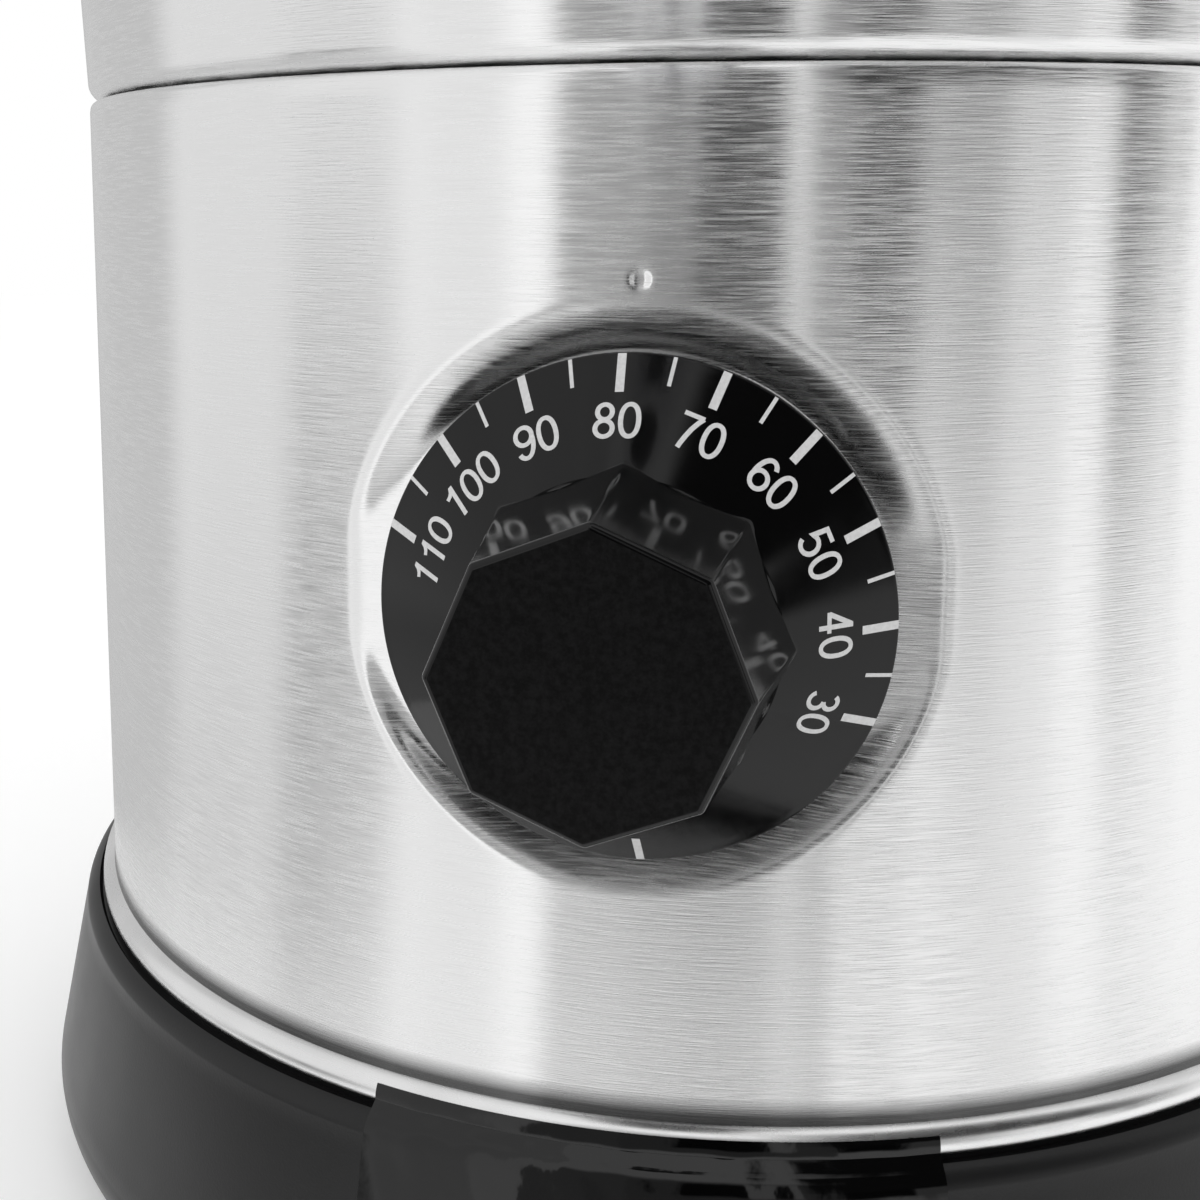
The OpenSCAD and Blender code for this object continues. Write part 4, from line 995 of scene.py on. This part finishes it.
def metal(name, dark, light, grain, roughness, depth, stretch=(1, 1, 1), metallic=1.0):
    """The same finish on metal."""
    return finish(name, dark, light, grain, roughness, depth, stretch, Metallic=metallic)


def wear(material, names):
    """Gives the solids with these names a material."""
    for name in names.split():
        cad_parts[name].material_slots[0].material = material


wear(brushed_steel("spun steel of the tank", grey(0.76), grey(0.86), 0.24, 0.00001, spun=True),
     "inner_tank lid")
wear(handle_plastic, "lid_knob tap_lever reset_ring_nut")
wear(satin_plastic("matt black cover", (0.02, 0.02, 0.0205), 0.5, 1800, 0.00004), "bottom_cover")
wear(satin_plastic("matt black socket", (0.018, 0.018, 0.0185), 0.42, 2200, 0.00002), "power_inlet")
wear(finish("black rubber", grey(0.02), grey(0.032), 1400, (0.7, 0.85), 0.00006),
     "foot_ring tap_gasket tank_gasket")
wear(finish("pale silicone", (0.68, 0.67, 0.62), (0.76, 0.75, 0.71), 500, (0.45, 0.6), 0.00002), "tap_seal")
wear(metal("chromed brass", (0.80, 0.80, 0.81), (0.86, 0.86, 0.87), 90, (0.06, 0.11), 0.00002),
     "tap_body tap_spout tap_bonnet")
wear(metal("turned steel", (0.58, 0.58, 0.59), (0.72, 0.72, 0.73), 1, (0.28, 0.4), 0.00001,
           (300, 300, 6000)),
     "cover_screws tie_studs tie_nuts thermostat_screws thermostat_shaft knob_spring_clip bulb_clip "
     "inlet_screws inlet_nuts tap_spacer tap_nut tap_stem tap_spring lever_pin handle_washers "
     "handle_screws lid_screw")
wear(metal("rolled steel sheet", (0.55, 0.55, 0.56), (0.68, 0.68, 0.69), 1, (0.35, 0.5), 0.00001,
           (60, 900, 60)), "heat_shield")
wear(metal("rolled aluminium", (0.62, 0.62, 0.63), (0.74, 0.74, 0.75), 1, (0.35, 0.5), 0.00001,
           (900, 40, 40)), "heat_plate")
wear(metal("scaled heater sheath", (0.12, 0.11, 0.10), (0.26, 0.25, 0.24), 260, (0.4, 0.6), 0.00003,
           metallic=0.6), "heating_element")
wear(metal("drawn copper", (0.62, 0.34, 0.22), (0.76, 0.46, 0.32), 300, (0.25, 0.4), 0.00001),
     "sensor_bulb capillary_tube")
wear(metal("stamped brass", (0.66, 0.52, 0.26), (0.78, 0.64, 0.36), 400, (0.22, 0.35), 0.00001),
     "inlet_pins earth_screw")
wear(finish("pale moulded body", (0.70, 0.67, 0.58), (0.80, 0.77, 0.68), 900, (0.45, 0.6), 0.00003),
     "thermostat_body thermal_cutout")
wear(finish("mineral wool", (0.42, 0.38, 0.25), (0.66, 0.62, 0.44), 1, (0.9, 1.0), 0.0006, (900, 900, 160),
            5.0), "insulation_sleeve")
wear(finish("silicone wire sleeve", (0.62, 0.62, 0.60), (0.72, 0.72, 0.70), 700, (0.5, 0.65), 0.00003),
     "wiring")
wear(finish("red moulded button", (0.45, 0.035, 0.03), (0.58, 0.055, 0.045), 800, (0.35, 0.5), 0.00002),
     "reset_button")
print("materials in all:", len(bpy.data.materials))

# %% [markdown]
# ## The studio
# Brushed steel has hardly a look of its own: it shows the room. The kettle stood on white paper in a light
# tent, with dark cards beside and behind the camera, which give the upright dark bands. The same room is
# painted here on the world as a few soft-edged cards, each with its bearing from the front, its height
# above the horizon and its brightness. Only glossy rays see the cards. The camera sees plain white, and
# dull surfaces are lit evenly.

# %% Studio
world = bpy.data.worlds.new("studio")
bpy.context.scene.world = world
world.use_nodes = True
world.cycles.sampling_method = "NONE"
studio = world.node_tree
studio.nodes.clear()
sky = add_node(studio, "SeparateXYZ", {0: add_node(studio, "TexCoord").outputs["Generated"]}).outputs
bearing = math_node(studio, "ARCTAN2", sky["X"], math_node(studio, "MULTIPLY", sky["Y"], -1))
bearing = math_node(studio, "MULTIPLY", bearing, 180 / math.pi)
rise = math_node(studio, "MULTIPLY", math_node(studio, "ARCSINE", sky["Z"]), 180 / math.pi)


def soft_edge(value, place, softness, falling=False):
    """Goes from 0 to 1 round a place, over twice the softness, or from 1 to 0."""
    ends = (1, 0) if falling else (0, 1)
    return spread(studio, value, place - softness, place + softness, *ends, "SMOOTHSTEP")


def hang_card(room, left, right, side_soft, brightness, low=-90, high=95, height_soft=5):
    """Paints a card over the room: room + (brightness - room) * mask, with soft edges on all four sides."""
    across = math_node(studio, "MULTIPLY", soft_edge(bearing, left, side_soft),
                       soft_edge(bearing, right, side_soft, True))
    upright = math_node(studio, "MULTIPLY", soft_edge(rise, low, height_soft),
                        soft_edge(rise, high, height_soft, True))
    mask = math_node(studio, "MULTIPLY", across, upright)
    gap = math_node(studio, "SUBTRACT", brightness, room)
    return math_node(studio, "MULTIPLY_ADD", gap, mask, room)


dull_light = 0.95
room = 1.0

# Each card: left and right bearing and their softness in degrees, and the brightness. A card that isn't as
# high as the room has three numbers more: its lower and its upper edge, and their softness.
cards = [
    (-190, -98, 8, 0.55),
    (-98, -70, 6, 0.76),
    (-70, -46, 6, 0.82),
    (-46, -30, 4, 0.80),
    (-30, -22.8, 1.5, 1.0),
    (-170, -60, 10, 0.55, -90, -14, 6),
    (98, 190, 10, 0.62),
    (-72, -50, 4, 0.15, -16, -4, 4),
    (-22.8, 22, 0.8, 0.31, -24, 44, 6),
    (22, 56, 2, 0.45, -7, 44, 6),
    (-9.5, 12.9, 1.5, 0.25, -22, 36, 6),
    (-1, 12.9, 1.5, 0.0, -3, 38, 5),
    (12.9, 17.2, 0.5, 0.82, -4, 44, 6),
    (17, 21, 1.5, 0.29, -22, 44, 6),
    (22, 33, 2, 0.0, -6, 44, 6),
    (38, 47, 3, 0.42, -11, 44, 6),
    (47, 56, 3, 0.80, -30, 44, 6),
    (64.3, 69.2, 0.7, 0.0, -4, 44, 4),
    (69.2, 73, 0.8, 0.15, -3, 44, 4),
    (73, 75.6, 0.6, 0.60, -3, 44, 4),
    (75.6, 77.2, 0.6, 0.10, -3, 44, 4),
    (22, 80, 6, 0.02, 16, 66, 4),
]
for card in cards:
    room = hang_card(room, *card)
rays = add_node(studio, "LightPath").outputs
over_dull = math_node(studio, "SUBTRACT", room, dull_light)
level = math_node(studio, "MULTIPLY_ADD", over_dull, rays["Is Glossy Ray"], dull_light)
plain = math_node(studio, "MAXIMUM", rays["Is Camera Ray"], rays["Is Transmission Ray"])
level = math_node(studio, "MULTIPLY_ADD", math_node(studio, "SUBTRACT", 1.0, level), plain, level)
light = add_node(studio, "Background", {"Color": (1, 1, 1, 1), "Strength": level})
studio.links.new(light.outputs[0], add_node(studio, "OutputWorld").inputs["Surface"])

# %% [markdown]
# The floor is white paper. It keeps the soft shadow under the kettle, and its near part shows in the steel.
# Farther out it is hidden from glossy rays, which then see the cards.

# %% Floor and lamp
paper, tree, shader = new_material("white paper", grey(0.95), Roughness=0.9, Emission_Color=(1, 1, 1, 1))
bump(shader, noise(tree, 300, 3.0), 0.00005)
paper_rays = add_node(tree, "LightPath").outputs
seen = math_node(tree, "MAXIMUM", paper_rays["Is Camera Ray"], paper_rays["Is Glossy Ray"])
seen = math_node(tree, "MAXIMUM", seen, paper_rays["Is Transmission Ray"])
drive(shader, Emission_Strength=math_node(tree, "MULTIPLY", seen, 0.12))


def floor_ring(name, inner, outer):
    """A flat ring on the table's plane, in the shape of a turned line."""
    points, faces = turned(line([inner, 0], [outer, 0], 12), 96, False)
    mesh = bpy.data.meshes.new(name)
    mesh.from_pydata(points.reshape(-1, 3).tolist(), [], faces[:, ::-1].tolist())
    mesh.materials.append(paper)
    return new_object(name, mesh)


near_floor = floor_ring("floor_near", 0.0001, 0.2)
far_floor = floor_ring("floor_far", 0.2, 2.5)
far_floor.visible_glossy = False

lamp_data = bpy.data.lights.new("lamp", "AREA")
lamp_data.shape = "DISK"
lamp_data.size = 0.9
lamp_data.energy = 3
lamp = new_object("lamp", lamp_data)
lamp.location = (-0.8, -1.0, 1.3)
lamp.rotation_euler = Vector((0.8, 1.0, -1.15)).to_track_quat("-Z", "Y").to_euler()
lamp.visible_glossy = False

# %% [markdown]
# The view transform stays plain, so that a colour renders as it is written.

# %% Finish
bpy.context.scene.view_settings.view_transform = "Standard"
